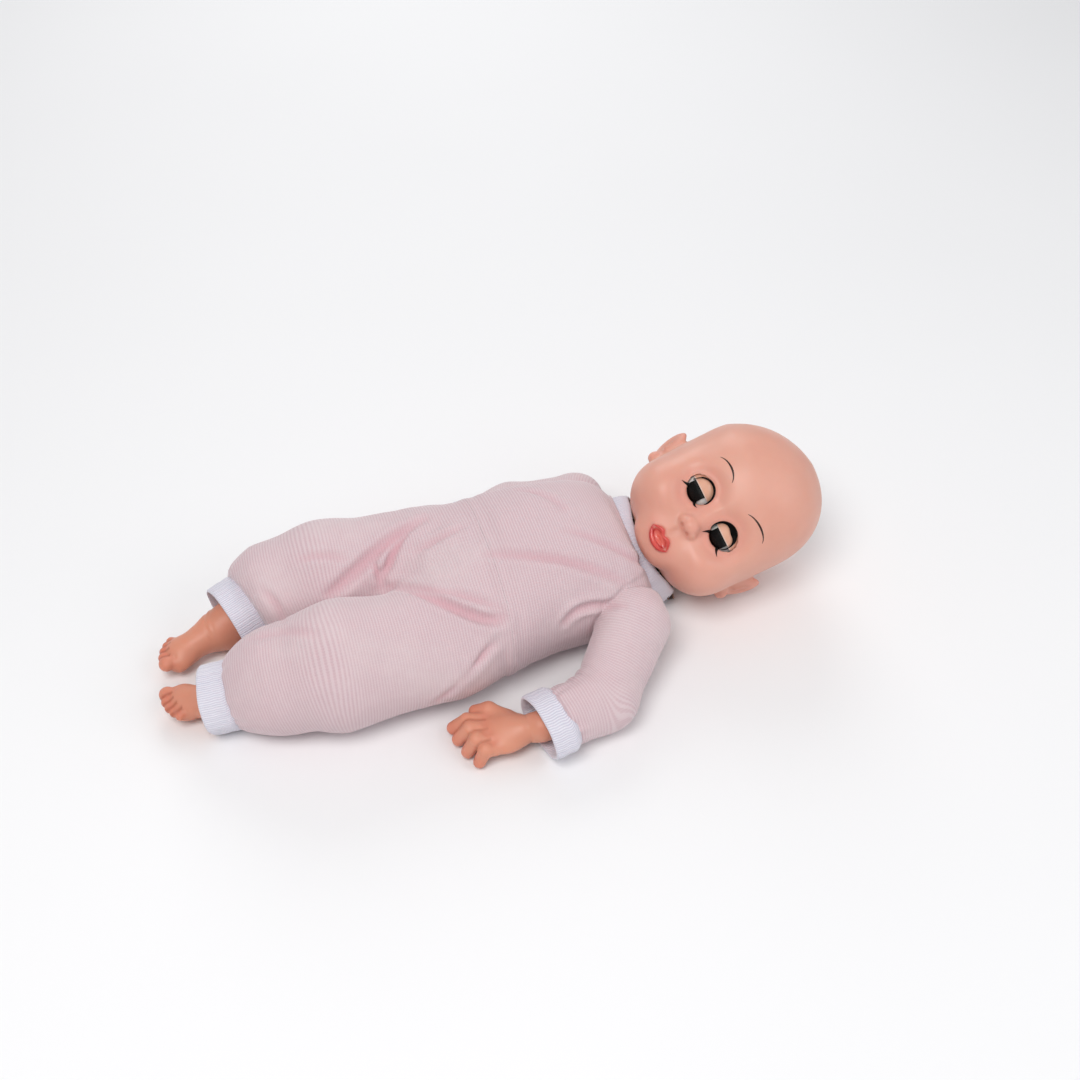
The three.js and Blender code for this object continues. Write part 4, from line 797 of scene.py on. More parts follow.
for side, l in LEG.items():
    f, L, toes, hl = foot_form(side, l)
    k = A(l["knee"], float)
    lo = np.minimum(k, L.c.astype(float)) - A([16, 19, 20]); hi = np.maximum(k, L.c.astype(float)) + A([8, 19, 19])
    lo[2] = -0.6
    v, q = nets(f, lo, hi, 0.68)
    v[:, 2] = np.maximum(v[:, 2], 0.65)
    o = mesh("vinyl_lower_leg_" + side, v, q)
    Q = L.into(v)
    blush = sum(0.4 * bump(norm(Q - A((x, y, 0))), r * 1.2) for x, y, r in toes) + 0.35 * bump(norm(Q - A((hl[0] + 8, hl[1], hl[2] - 4))), 8)
    painted_shade = np.zeros(len(v))
    # painted shade in the gaps between the toes
    for (x0, y0, r0), (x1, y1, r1) in zip(toes[:-1], toes[1:]):
        g = A(((x0 + x1) / 2 + 1.5, (y0 * (r1) + y1 * (r0)) / (r0 + r1)))
        painted_shade += 0.6 * bump(Q[:, 1] - g[1], 0.8) * (Q[:, 0] < g[0] + 1.5) * (Q[:, 0] > g[0] - 5)
    attr(o, "blush", np.clip(blush, 0, 0.8)); attr(o, "painted_shade", np.clip(painted_shade, 0, 0.8)); attr(o, "lip", 0 * blush); attr(o, "mouth", 0 * blush)
    o.data.materials.append(LIMB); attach(o, "lower_leg_" + side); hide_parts("lower_leg_" + side)

# ---------------------------------------------------------------- the camera, needed to lay the photograph's folds on the cloth
CAM = A([-148.92, -513.48, 573.0])
VD, VR, VU = A([0.2123, 0.6860, -0.6959]), A([0.9553, -0.2958, 0.0]), A([0.2058, 0.6647, 0.7181])

def on_cloth(f, px, lift=0.0):
    """Where the camera's rays through these points of a 1080 x 1080 frame meet the form f."""
    out = []
    for X, Y in px:
        d = VD + VR * (X - 540) / 1480 - VU * (Y - 540) / 1480
        d /= np.linalg.norm(d)
        t = 560.0; hit = None
        for _ in range(400):
            p = CAM + d * t
            v = float(f(p[None].astype(F32))[0])
            if v < 0.05: hit = p; break
            t += max(0.1, v * 0.7)
            if t > 1100: break
        if hit is not None: out.append(hit)
    return out

# ---------------------------------------------------------------- romper forms
_T = A([[-72, 16, 15, 38, -4.0], [-64, 36, 5, 47, -4.0], [-50, 48, -0.2, 57.5, -4.0], [-35, 51.3, -1.2, 63.2, -4.3], [-20, 50.5, -1.5, 66.5, -4.5], [-10, 48, -2.5, 69.5, -3.2],
        [5, 45.4, -3, 70.5, -1.5], [20, 44.6, -3, 69.5, -0.5], [35, 44.4, -2.5, 66.5, 0], [46, 42.5, -1, 61.5, 0], [54, 38, 0.5, 56, 0], [62, 29, 2, 47.6, 0], [68, 20, 6, 38, 0]], float)
_TX = np.arange(-74, 70, 0.5)
_TS = []
for _k in range(1, 5):
    _v = np.interp(_TX, _T[:, 0], _T[:, _k])
    _v = np.convolve(np.pad(_v, 8, mode="edge"), np.hanning(19)[1:-1] / np.hanning(19)[1:-1].sum(), "valid")
    _TS.append(_v)

def trunk_form(P):
    x = P[..., 0]
    half, low, top, mid = (np.interp(x, _TX, s).astype(F32) for s in _TS)
    low = np.maximum(low, -2.2)
    hz = (top - low) / 2; zc = (top + low) / 2
    n = F32(2.5)
    q = ((np.abs(P[..., 1] - mid) / half) ** n + (np.abs(P[..., 2] - zc) / hz) ** n + F32(1e-9)) ** (1 / n) - 1
    return q * np.minimum(half, hz) * F32(0.94)

def axial(P, o, U):
    q = P - A(o, F32)
    t = dot(q, A(U, F32)); r = norm(q - t[..., None] * A(U, F32))
    return t, r

def neckline(P):
    """How far up the neck the cloth reaches: highest under the chin."""
    q = P - A(NECK, F32); a, b = dot(q, A(LFT, F32)), dot(q, A(BCK, F32)); r = np.hypot(a, b) + F32(1e-3)
    return 1.2 - 1.4 * b / r - 0.8 * a / r

def bodice_base(P):
    d = trunk_form(P)
    d = smax(d, P[..., 0] - 63.0, 6)
    t, r = axial(P, NECK, UP); top = neckline(P)
    d = smax(d, (t - (top + 0.24 * (r - 31))) * 0.97, 6.0)
    d = smin(d, np.maximum(r - 31.3, np.maximum(t - top, -9 - t)), 4.0)  # cloth drawn up to the collar
    return d

def leg_base(P, side):
    l = LEG[side]; hip = HIP[side]
    near = side == "left"
    k = 0.55 if near else 0.66
    mid = A(l["knee"], float) * (1 - k) + A(l["cuff"], float) * k + A([0, 0, 1.6 if near else 2.4])
    rm = l["r1"] * (1 - k) + l["r2"] * k + (2.6 if near else 4.0)
    knee = A(l["knee"], float) + A([0, 0, 0.9])
    d = smin(cone(P, hip, knee, l["r0"], l["r1"] + 0.6), cone(P, knee, mid, l["r1"] + 0.6, rm), 8)
    return smin(d, cone(P, mid, l["cuff"], rm, l["r2"] + 0.4), 7)

def pants_base(P):
    pel = smax(trunk_form(P), -(P[..., 0] + 70), 8)
    y = P[..., 1]
    L_ = smax(leg_base(P, "left"), (y + 4.0) + 0.45, 4)
    R_ = smax(leg_base(P, "right"), -(y + 4.0) + 0.45, 4)
    return smin(pel, np.minimum(L_, R_), 9)

def sleeve_base(P, side):
    a = ARM[side]; sh = SHO[side]
    inn = A([sh[0], sh[1] - a["s"] * 8, sh[2]])
    d = smin(cone(P, inn, sh, a["r0"] + 0.8, a["r0"]), cone(P, sh, a["elbow"], a["r0"], a["r1"]), 3)
    return smin(d, cone(P, a["elbow"], a["cuff"], a["r1"], a["r2"] + 0.6), 6)

def whole(P):
    d = np.minimum(np.where(P[..., 0] > -20, bodice_base(P), 1e3), np.where(P[..., 0] <= -19, pants_base(P), 1e3))
    return np.minimum(d, np.minimum(sleeve_base(P, "left"), sleeve_base(P, "right")))

# folds read off the photograph: points of the frame, then depth, width and the roll beside it in mm
FOLDS = [
    ([(424, 520), (401, 535), (377, 549), (366, 566), (344, 580), (330, 594)], 3.6, 2.7, 1.3),
    ([(410, 530), (394, 553), (383, 578)], 2.4, 2.0, 1.0),
    ([(416, 552), (436, 541), (462, 528)], 1.0, 2.0, 0.9),
    ([(372, 559), (384, 590)], 1.6, 1.9, 0.7),
    ([(400, 590), (418, 593), (445, 604), (466, 615), (488, 618), (504, 617)], 3.2, 2.4, 1.3),
    ([(372, 590), (405, 588), (440, 592), (478, 602), (500, 607)], 1.1, 2.2, 0.6),
    ([(486, 554), (519, 555), (554, 559), (590, 568), (625, 583)], 1.5, 2.4, 0.8),
    ([(566, 531), (601, 542), (637, 561), (649, 578)], 1.2, 2.2, 0.7),
    ([(564, 623), (573, 613), (590, 606), (625, 606)], 1.8, 2.0, 0.9),
    ([(300, 560), (322, 556), (346, 559)], 1.0, 2.0, 0.5),
    ([(262, 590), (276, 604), (284, 622)], 1.0, 1.8, 0.6),
    ([(250, 640), (285, 632), (318, 634)], 0.9, 2.2, 0.5),
    ([(520, 490), (548, 497), (566, 512)], 0.9, 2.2, 0.5),
]
EXTRA = [  # folds the photograph can't show: the far side, under the arms, behind the knees, across the back
    ([(-28, 40, 48), (-46, 47, 36), (-60, 46, 20)], 1.6, 2.4, 0.8), ([(38, 44, 46), (24, 46, 38), (10, 47, 30)], 1.6, 2.2, 0.8),
    ([(30, 43, 14), (14, 46, 12), (-4, 47, 12)], 1.2, 2.2, 0.6), ([(-92, 42, 12), (-98, 52, 24), (-96, 46, 44)], 1.5, 2.4, 0.8),
    ([(-30, -53, 44), (-46, -58, 34), (-62, -60, 20)], 1.6, 2.4, 0.8), ([(28, -44, 12), (10, -46, 11), (-8, -48, 12)], 1.2, 2.2, 0.6),
    ([(-104, -50, 8), (-110, -58, 22), (-106, -54, 42)], 1.4, 2.4, 0.8), ([(-130, 42, 30), (-126, 34, 44), (-128, 20, 47)], 0.9, 2.0, 0.5),
    ([(-142, -44, 22), (-138, -38, 38), (-140, -24, 42)], 0.9, 2.0, 0.5),
]
_SEED = [(p, w) for p, w in zip(np.random.default_rng(7).normal(size=(14, 3)), np.random.default_rng(8).uniform(0, 6.28, 14))]

def rumple(P, amp=0.42):
    """Soft unevenness of stuffed cloth: a few slow waves."""
    out = 0
    for i, (k, ph) in enumerate(_SEED):
        k = k / np.linalg.norm(k) * (0.16 if i < 6 else 0.30)
        out = out + np.sin(dot(P, A(k, F32)) + F32(ph)) * (1.0 if i < 6 else 0.55)
    return out * F32(amp / 4.2)

LINES = []
for px, depth, width, roll in FOLDS:
    pts = on_cloth(whole, curve2(px, 14))
    if len(pts) > 2: LINES.append((A(pts), depth, width, roll))
for pts, depth, width, roll in EXTRA:
    LINES.append((curve2(pts, 10), depth, width, roll))

def fold_field(P):
    """How far the folds push the cloth in (positive), and a mask of painted shade that is strongest along the middle of
    each crease.
    """
    push = np.zeros(P.shape[:-1], F32); painted_shade = np.zeros(P.shape[:-1], F32)
    for pts, depth, width, roll in LINES:
        lo, hi = pts.min(0) - 5 * width, pts.max(0) + 5 * width
        m = np.all((P > lo) & (P < hi), -1)
        if not m.any(): continue
        Q = P[m]; best = np.full(Q.shape[:-1], 1e3, F32); taper = np.zeros(Q.shape[:-1], F32)
        n = len(pts) - 1
        for i in range(n):
            a, b = A(pts[i], F32), A(pts[i + 1], F32); ba = b - a
            h = np.clip(dot(Q - a, ba) / max(float(ba @ ba), 1e-6), 0, 1)
            dd = norm(Q - a - h[..., None] * ba); s = (i + h) / n
            k = dd < best
            best = np.where(k, dd, best); taper = np.where(k, np.sin(np.pi * np.clip(s * 0.92 + 0.04, 0, 1)) ** 0.6, taper)
        g = np.exp(-(best / width) ** 2) * taper
        ro = np.exp(-((best - 2.1 * width) / (1.1 * width)) ** 2) * taper
        push[m] += depth * g - roll * ro
        painted_shade[m] = np.maximum(painted_shade[m], g * min(1.0, depth / 2.4))
    return push, painted_shade

def gather(P, o, U, t0, n, amp, reach):
    """Small pleats drawn in at a cuff."""
    q = P - A(o, F32); t = dot(q, A(U, F32))
    R = axis_of([0, 0, 0], U)
    ang = np.arctan2(dot(q, R[:, 1]), dot(q, R[:, 0]))
    near = np.exp(-np.clip(t0 - t, 0, 99) / reach)
    return amp * np.sin(n * ang + 1.7 * np.sin(3 * ang)) * near

def below0(d, P, z=0.1, k=2.0): return smax(d, -(P[..., 2] - z), k)

def unit(v): v = A(v, float); return v / np.linalg.norm(v)

LEG_END = {s: unit(l["end"]) for s, l in LEG.items()}
ARM_END = {s: unit(A(a["cuff"], float) - A(a["elbow"], float)) for s, a in ARM.items()}

def pants_form(P):
    d = pants_base(P)
    push, _ = fold_field(P)
    d = d + push + rumple(P) * np.clip((-20 - P[..., 0]) / 8, 0, 1)
    for side, l in LEG.items():
        m = (P[..., 1] < -4) if side == "left" else (P[..., 1] >= -4)
        U = LEG_END[side]
        t = dot(P - A(l["cuff"], F32), U)
        g = gather(P, l["cuff"], U, 0.0, 13, 0.55, 9.0)
        rr = axial(P, l["cuff"], U)[1]
        d = np.where(m, d + g * (P[..., 0] < -100) + 1.5 * np.exp(-np.clip(-t, 0, 99) / 2.2) * (P[..., 0] < -100), d)
        d = np.where(m, smax(d, np.where(P[..., 0] < -100, t - 0.2, -9), 1.2), d)
    d = d + 0.3 * bump(P[..., 0] + 24.4, 2.2) - 0.12 * bump(P[..., 0] + 20.6, 1.5)
    d = smax(d, P[..., 0] + 19.6, 0.3)
    return below0(d, P)

def bodice_form(P):
    d = bodice_base(P)
    push, _ = fold_field(P)
    d = d + push + rumple(P) * np.clip((P[..., 0] + 19) / 8, 0, 1)
    for side, sh in SHO.items():  # drawn in at the armhole seam
        s = -1 if side == "left" else 1
        rr = np.hypot(P[..., 0] - sh[0], P[..., 2] - sh[2])
        d = d + 0.9 * bump(rr - (ARM[side]["r0"] + 1.6), 1.5) * (P[..., 1] * s > 20)
    d = d + 0.3 * bump(P[..., 0] + 15.6, 2.2) - 0.12 * bump(P[..., 0] + 19.3, 1.5)
    d = smax(d, -(P[..., 0] + 20.3), 0.3)
    t, r = axial(P, NECK, UP)
    d = smax(d, -np.maximum(r - 27.0, -(t + 5.5)), 1.0)
    d = np.maximum(d, -(norm(P - A(NECK, F32)) - 19.4))
    return below0(d, P)

def sleeve_form(P, side):
    a = ARM[side]
    d = sleeve_base(P, side)
    push, _ = fold_field(P)
    d = d + 0.6 * push + rumple(P, 0.6)
    U = ARM_END[side]
    t = dot(P - A(a["cuff"], F32), U)
    d = d + gather(P, a["cuff"], U, 0.0, 11, 0.6, 7.0) + 1.4 * np.exp(-np.clip(-t, 0, 99) / 2.2)
    e = A(a["elbow"], float)  # rolls inside the bent elbow
    q = P - A(e, F32)
    for off, dp in ((-3.5, 0.9), (2.0, 1.3), (7.5, 0.9)):
        d = d + dp * bump(dot(q, A(unit(A(a["cuff"], float) - SHO[side]), F32)) - off + 1.6 * np.sin(P[..., 2] * 0.23 + off), 1.9) * np.clip(-a["s"] * (P[..., 1] - e[1]) / 8 + 0.4, 0, 1)
    d = smax(d, t - 0.2, 1.2)
    d = smax(d, -(a["s"] * P[..., 1] - 39), 1.0)
    # flattened where it lies on the mattress
    return below0(d, P, 0.3, 3.0)

def knit_attrs(o, along, around):
    p = points(o)
    # the folds' shade mask, kept for the knit's painted shade
    _, painted_shade = fold_field(p.astype(F32))
    attr(o, "along", along); attr(o, "around", around); attr(o, "fold_shade", painted_shade)
    a = o.data.attributes.new("rest", "FLOAT_VECTOR", "POINT")
    a.data.foreach_set("vector", (p * 0.001).astype(np.float32).ravel())

def soften(d0, d1, t): return d0 + (d1 - d0) * np.clip(t, 0, 1) ** 2 * (3 - 2 * np.clip(t, 0, 1))

H = 1.25
# bodice
v, q = nets(bodice_form, (-22.4, -58, -2.6), (79, 54, 74), H)
v[:, 2] = np.maximum(v[:, 2], 0.05)
bodice = mesh("romper_top", v, q)
knit_attrs(bodice, v[:, 0], np.arctan2(v[:, 2] - 33, v[:, 1] + 2) * 40)
bodice.data.materials.append(PINK)
BODICE = bodice

# pants, one form cut down the middle into a half for each leg
v, q = nets(pants_form, (-161, -68, -2.6), (-17.6, 60, 71), H)
v[:, 2] = np.maximum(v[:, 2], 0.05)
full = mesh("pants_whole", v, q)
halves = {}
for side in ("left", "right"):
    o = full.copy(); o.data = full.data.copy(); o.name = "romper_leg_" + side; scene.collection.objects.link(o)
    bm = bmesh.new(); bm.from_mesh(o.data)
    s = 1 if side == "left" else -1
    res = bmesh.ops.bisect_plane(bm, geom=bm.verts[:] + bm.edges[:] + bm.faces[:], dist=1e-6, plane_co=(0, -0.004, 0), plane_no=(0, s, 0), clear_outer=True)
    rim = [e for e in bm.edges if e.is_boundary]
    for e in rim: e.smooth = False
    fill = bmesh.ops.holes_fill(bm, edges=rim, sides=0)["faces"]
    bmesh.ops.triangulate(bm, faces=fill)
    for fc in bm.faces:
        fc.smooth = not (abs(fc.normal.y) > 0.999 and abs(fc.calc_center_median().y + 0.004) < 1e-5)
    bm.to_mesh(o.data); bm.free()
    p = points(o)
    l = LEG[side]; hip, knee, cuff = HIP[side], A(l["knee"], float), A(l["cuff"], float)
    s1 = p[:, 0] - hip[0]
    u1, u2 = unit(knee - hip), unit(cuff - knee)
    t1 = (p - hip) @ u1; t2 = (p - knee) @ u2 + np.linalg.norm(knee - hip)
    w = np.clip(((p - knee) @ u2 + 14) / 28, 0, 1); w = w * w * (3 - 2 * w)
    t = -(t1 * (1 - w) + t2 * w)
    along = soften(p[:, 0] - hip[0], t, (-p[:, 0] - 30) / 30)
    ctr = np.where(p[:, :1] > knee[0], hip + (knee - hip) * np.clip(((p[:, :1] - hip[0]) / (knee[0] - hip[0])), 0, 1), knee + (cuff - knee) * np.clip((p[:, :1] - knee[0]) / (cuff[0] - knee[0]), 0, 1.2))
    knit_attrs(o, along, np.arctan2(p[:, 2] - ctr[:, 2], p[:, 1] - ctr[:, 1]) * 26)
    o.data.materials.append(PINK)
    halves[side] = o
bpy.data.objects.remove(full)

sleeves = {}
for side, a in ARM.items():
    lo = A([-14, min(SHO[side][1] - a["s"] * 10, a["cuff"][1] + a["s"] * 20), -1]); hi = A([66, max(SHO[side][1] - a["s"] * 10, a["cuff"][1] + a["s"] * 20), 50])
    v, q = nets(lambda P, side=side: sleeve_form(P, side), lo, hi, H * 0.84)
    v[:, 2] = np.maximum(v[:, 2], 0.3)
    o = mesh("romper_sleeve_" + side, v, q)
    sh, el, cu = SHO[side].astype(float), A(a["elbow"], float), A(a["cuff"], float)
    u1, u2 = unit(el - sh), unit(cu - el)
    t1 = (v - sh) @ u1; t2 = (v - el) @ u2 + np.linalg.norm(el - sh)
    w = np.clip(((v - el) @ u2 + 9) / 18, 0, 1); w = w * w * (3 - 2 * w)
    R = axis_of(sh, cu); qq = v - sh
    knit_attrs(o, t1 * (1 - w) + t2 * w, np.arctan2(qq @ R[:, 1], qq @ R[:, 0]) * 16)
    o.data.materials.append(PINK); sleeves[side] = o

# ---------------------------------------------------------------- rib knit cuffs and collar
def rib_ring(name, origin, R, prof, ribs, amp, sx=1.0, sy=1.0, z_floor=None, wave=0.0, mat=None, lift=None):
    """A ring knitted in real ribs: prof is a closed outline of (radius, height, rib share)."""
    seg = ribs * 4
    v, al, ar = [], [], []
    for (r, t, k) in prof:
        for j in range(seg):
            th = 2 * math.pi * j / seg
            rr = r + k * amp * math.cos(ribs * th) + wave * math.sin(3 * th + 0.6) * 0.5 + wave * 0.4 * math.sin(7 * th + 2)
            up = lift(th) * max(0.0, (t + 3) / 9) if lift else 0
            v.append(A(origin, float) + R @ A([rr * sx * math.cos(th), rr * sy * math.sin(th), t + up + wave * 0.5 * math.sin(2 * th + 1.2)]))
            al.append(t); ar.append(th * r)
    n = len(prof)
    f = [(i * seg + j, i * seg + (j + 1) % seg, ((i + 1) % n) * seg + (j + 1) % seg, ((i + 1) % n) * seg + j) for i in range(n) for j in range(seg)]
    v = A(v)
    if z_floor is not None: v[:, 2] = np.where(v[:, 2] < z_floor + 1.5, z_floor + np.maximum(0, (v[:, 2] - z_floor + 4.0) / 5.5 * 1.5), v[:, 2])
    o = mesh(name, v, f)
    bm = bmesh.new(); bm.from_mesh(o.data); bmesh.ops.recalc_face_normals(bm, faces=bm.faces); bm.to_mesh(o.data); bm.free()
    attr(o, "along", A(ar)); attr(o, "around", A(al)); attr(o, "fold_shade", np.zeros(len(v)))
    a = o.data.attributes.new("rest", "FLOAT_VECTOR", "POINT"); a.data.foreach_set("vector", (v * 0.001).astype(np.float32).ravel())
    o.data.materials.append(mat or WHITE)
    return o

def cuff_profile(r_in, r_out, length, root):
    """Round-edged band, folded back at its free end, with a short root under the sleeve."""
    out = [(root - 0.6, -3.0, 0.0), (root, -3.0, 0.2), (r_out - 0.5, -0.4, 0.6), (r_out, 1.0, 1.0)]
    for t in np.linspace(2.2, length - 1.6, 5): out.append((r_out + 0.15 * math.sin(t), float(t), 1.0))
    out += [(r_out - 0.1, length - 0.6, 0.9), (r_out - 0.55, length, 0.5), (r_out - 1.2, length + 0.15, 0.3), (r_in + 0.2, length - 0.5, 0.3), (r_in, length - 2.0, 0.6), (r_in, length * 0.5, 0.8), (r_in, 0.6, 0.5)]
    return out

for side, l in LEG.items():
    R = axis_of([0, 0, 0], LEG_END[side])
    o = rib_ring("rib_ankle_" + side, l["cuff"], R, cuff_profile(l["r2"] - 1.6, l["r2"] - 0.1, 13.2, l["r2"] - 2.6), 68, 0.10, z_floor=0.4, wave=0.6)
    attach(o, "leg_" + side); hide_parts("ankle_cuff_" + side)
for side, a in ARM.items():
    R = axis_of([0, 0, 0], ARM_END[side])
    wide, tall = a["wide"], a["tall"]
    # the cuff's broad way lies level
    o = rib_ring("rib_wrist_" + side, a["cuff"], R, cuff_profile(a["r2"] - 2.0, a["r2"] - 0.1, 11.8, a["r2"] - 2.4), 54, 0.10, sx=wide, sy=tall, z_floor=0.4, wave=0.45)
    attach(o, "arm_" + side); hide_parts("sleeve_cuff_" + side)
RN = np.stack([LFT, BCK, UP], 1)
col = [(27.4, -5.2, 0.2), (29.2, -5.4, 0.3), (30.3, -4.6, 0.6), (30.8, -2.8, 1.0), (30.7, -0.4, 1.0), (30.3, 2.0, 1.0), (29.7, 4.4, 1.0), (28.6, 6.6, 0.7), (27.3, 7.7, 0.4), (26.2, 7.4, 0.3), (26.0, 5.0, 0.6), (26.5, 2.0, 0.8), (26.9, -2.0, 0.5)]
collar = rib_ring("rib_collar", NECK, RN, col, 96, 0.14, z_floor=0.5, wave=0.5, lift=lambda th: 2.0 * (1 - math.exp(-((abs((th + math.pi / 2 + math.pi) % (2 * math.pi) - math.pi)) / 0.75) ** 4)))
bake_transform(collar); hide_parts("collar")

# ---------------------------------------------------------------- the stuffed cloth body inside the romper
def trunk_inner(P):
    d = smax(trunk_form(P) + 2.6, P[..., 0] - 57, 4)
    t, r = axial(P, NECK, UP)
    d = smax(d, (t - (-2.5 + 0.24 * (r - 31))) * 0.97 + 3.4, 5.0)
    d = np.maximum(d, -(norm(P - A(NECK, F32)) - 19.6))
    for sh in SHO.values():
        d = smax(d, -np.maximum(np.hypot(P[..., 0] - sh[0], P[..., 2] - sh[2]) - 12.4, 37 - np.abs(P[..., 1])), 0.6)
    q = [np.abs(P[..., 0] - 14) - 28.6, np.abs(P[..., 1]) - 20.6, np.abs(P[..., 2] - 27.5) - 22.6]
    slab = np.maximum(smax(q[0], q[1], 6), q[2])
    d = np.maximum(d, -slab)
    d = d + 0.35 * np.sin(P[..., 0] * 0.5) * np.exp(-(np.abs(P[..., 1] + 4) / 3.0) ** 2)
    d = smax(d, -(P[..., 0] + 44), 4)
    return smax(d, -(P[..., 2] - 2.2), 2)
v, q = nets(trunk_inner, (-47, -56, 0), (60, 52, 71), 1.8)
trunk_in = mesh("cloth_body", v, q)
CALICO = woven("Body calico", (226, 214, 198), (190, 174, 154))
trunk_in.data.materials.append(CALICO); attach(trunk_in, "torso"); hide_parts("cloth_trunk")

# striped brown frill of the neck cloth, seen past the collar's near end
FRILL = Mat("Brown striped neck cloth", 0.9)
FRILL.b.inputs["Sheen Weight"].default_value = 0.2
_st = FRILL.math("SINE", FRILL.math("MULTIPLY", FRILL.attr("around"), 2 * math.pi / 3.1))
_c2 = FRILL.mix(FRILL.range(_st, 0.55, 0.8), lin(44, 22, 16), lin(150, 108, 78))
FRILL.color(FRILL.mix(FRILL.range(FRILL.noise(900, 3), 0.5, 0.8, 0, 0.4), _c2, lin(26, 14, 10)))
FRILL.bump(FRILL.math("ADD", FRILL.noise(1700, 3), FRILL.math("MULTIPLY", _st, 0.3)), 0.5, 0.0004)
ths = np.radians(np.linspace(-28, 82, 90)); v, ar = [], []
prof = [(18.6, 6.2), (22, 7.6), (26, 8.2), (30, 8.0), (33, 7.2), (33.2, 6.7), (30, 7.4), (26, 7.5), (22, 6.9), (18.6, 5.4)]
for (r, t) in prof:
    for th in ths:
        k = np.clip((r - 20) / 12, 0, 1); edge = math.sin(math.pi * (th - ths[0]) / (ths[-1] - ths[0])) ** 0.35
        rr = 18.6 + (r - 18.6) * edge
        w = k * 1.3 * math.sin(13 * th) + k * 0.5 * math.sin(31 * th + 1)
        v.append(NECK + RN @ A([rr * math.cos(th), rr * math.sin(th), t + w])); ar.append(th * 26)
n, K = len(ths), len(prof)
f = [(k * n + i, k * n + i + 1, ((k + 1) % K) * n + i + 1, ((k + 1) % K) * n + i) for k in range(K) for i in range(n - 1)] + [tuple(k * n for k in range(K)), tuple(k * n + n - 1 for k in range(K))[::-1]]
v = A(v); v[:, 2] = np.maximum(v[:, 2], 0.8)
frill = mesh("neck_frill", v, f)
bm = bmesh.new(); bm.from_mesh(frill.data); bmesh.ops.recalc_face_normals(bm, faces=bm.faces); bm.to_mesh(frill.data); bm.free()
attr(frill, "around", A(ar)); frill.data.materials.append(FRILL.m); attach(frill, "neck")

# ---------------------------------------------------------------- the cloth solver fills each stuffed piece
def filled(o, voxel, cap, held, pressure):
    """A coarse copy of the piece is blown up by the cloth solver; its movements, capped, go over to the piece."""
    depth = bpy.context.evaluated_depsgraph_get
    c = o.copy(); c.data = o.data.copy(); c.name = o.name + "_sim"; scene.collection.objects.link(c)
    c.data.materials.clear()
    rm = c.modifiers.new("coarse", "REMESH"); rm.mode = "VOXEL"; rm.voxel_size = voxel * 0.001
    bpy.context.view_layer.update()
    coarse = bpy.data.meshes.new_from_object(c.evaluated_get(depth()))
    c.modifiers.clear(); c.data = coarse
    p0 = points(c)
    g = c.vertex_groups.new(name="held")
    w = np.clip(held(p0), 0, 1)
    for i, wi in enumerate(w): g.add([i], float(wi), "REPLACE")
    cl = c.modifiers.new("fill", "CLOTH"); st = cl.settings
    st.quality = 8; st.mass = 0.02; st.tension_stiffness = 12; st.compression_stiffness = 12; st.shear_stiffness = 4; st.bending_stiffness = 0.2
    st.use_pressure = True; st.uniform_pressure_force = pressure; st.vertex_group_mass = "held"; st.effector_weights.gravity = 0.0
    cl.collision_settings.use_collision = False; cl.collision_settings.use_self_collision = False
    cl.point_cache.frame_start = 1; cl.point_cache.frame_end = 20
    for f in range(1, 21): scene.frame_set(f)
    ev = c.evaluated_get(depth())
    p1 = np.empty(len(p0) * 3); ev.data.vertices.foreach_get("co", p1); p1 = p1.reshape(-1, 3) * 1000
    D = p1 - p0
    D[~np.isfinite(D).all(1)] = 0
    nrm = np.empty(len(p0) * 3); c.data.vertices.foreach_get("normal", nrm); nrm = nrm.reshape(-1, 3)
    free = w < 0.3
    D -= nrm * (float(np.median((D * nrm).sum(1)[free])) * (1 - w))[:, None]  # the piece keeps its size and takes on the shape
    L = np.linalg.norm(D, axis=1, keepdims=True)
    D = D * (cap * np.tanh(L / cap) / np.maximum(L, 1e-9))
    print("fill", o.name, len(p0), "points, travel mm mean %.2f most %.2f" % (float(np.linalg.norm(D, axis=1).mean()), float(np.linalg.norm(D, axis=1).max())))
    kd = KDTree(len(p0))
    for i, q in enumerate(p0): kd.insert(q, i)
    kd.balance()
    p = points(o); out = np.zeros_like(p)
    for i, q in enumerate(p):
        near = kd.find_n(q, 6)
        ww = np.array([1.0 / (d_ * d_ + 1.5) for (_, _, d_) in near]); idx = [k for (_, k, _) in near]
        out[i] = (D[idx] * ww[:, None]).sum(0) / ww.sum()
    out *= (1 - np.clip(held(p), 0, 1))[:, None]  # seams and hems stay where they are
    p = p + out
    p[:, 2] = np.maximum(p[:, 2], 0.05)
    o.data.vertices.foreach_set("co", (p * 0.001).astype(np.float32).ravel()); o.data.update()
    bpy.data.objects.remove(c); scene.frame_set(1)

near_plane = lambda v, a, b: 1 - np.clip((v - a) / (b - a), 0, 1)
def held_top(p):
    t, r = axial(p.astype(F32), NECK, UP)
    w = np.maximum(near_plane(p[:, 0], -18, -8), near_plane(-t, 2, 10) * (r < 40))
    for sh in SHO.values(): w = np.maximum(w, near_plane(norm(p - sh), 18, 26))
    return np.maximum(w, near_plane(p[:, 2], 1, 4) * 0.6)
def held_leg(side):
    def f(p):
        t = (p - A(LEG[side]["cuff"], float)) @ LEG_END[side]
        return np.maximum(np.maximum(near_plane(-p[:, 0], 22, 32), near_plane(-t, 3, 10)), np.maximum(near_plane(p[:, 2], 1, 4) * 0.6, near_plane(np.abs(p[:, 1] + 4), 1, 5)))
    return f
def held_arm(side):
    def f(p):
        t = (p - A(ARM[side]["cuff"], float)) @ ARM_END[side]
        return np.maximum(np.maximum(near_plane(np.abs(p[:, 1]), 44, 50), near_plane(-t, 2, 7)), near_plane(p[:, 2], 1, 3) * 0.6)
    return f
filled(BODICE, 5.0, 1.2, held_top, 80.0)
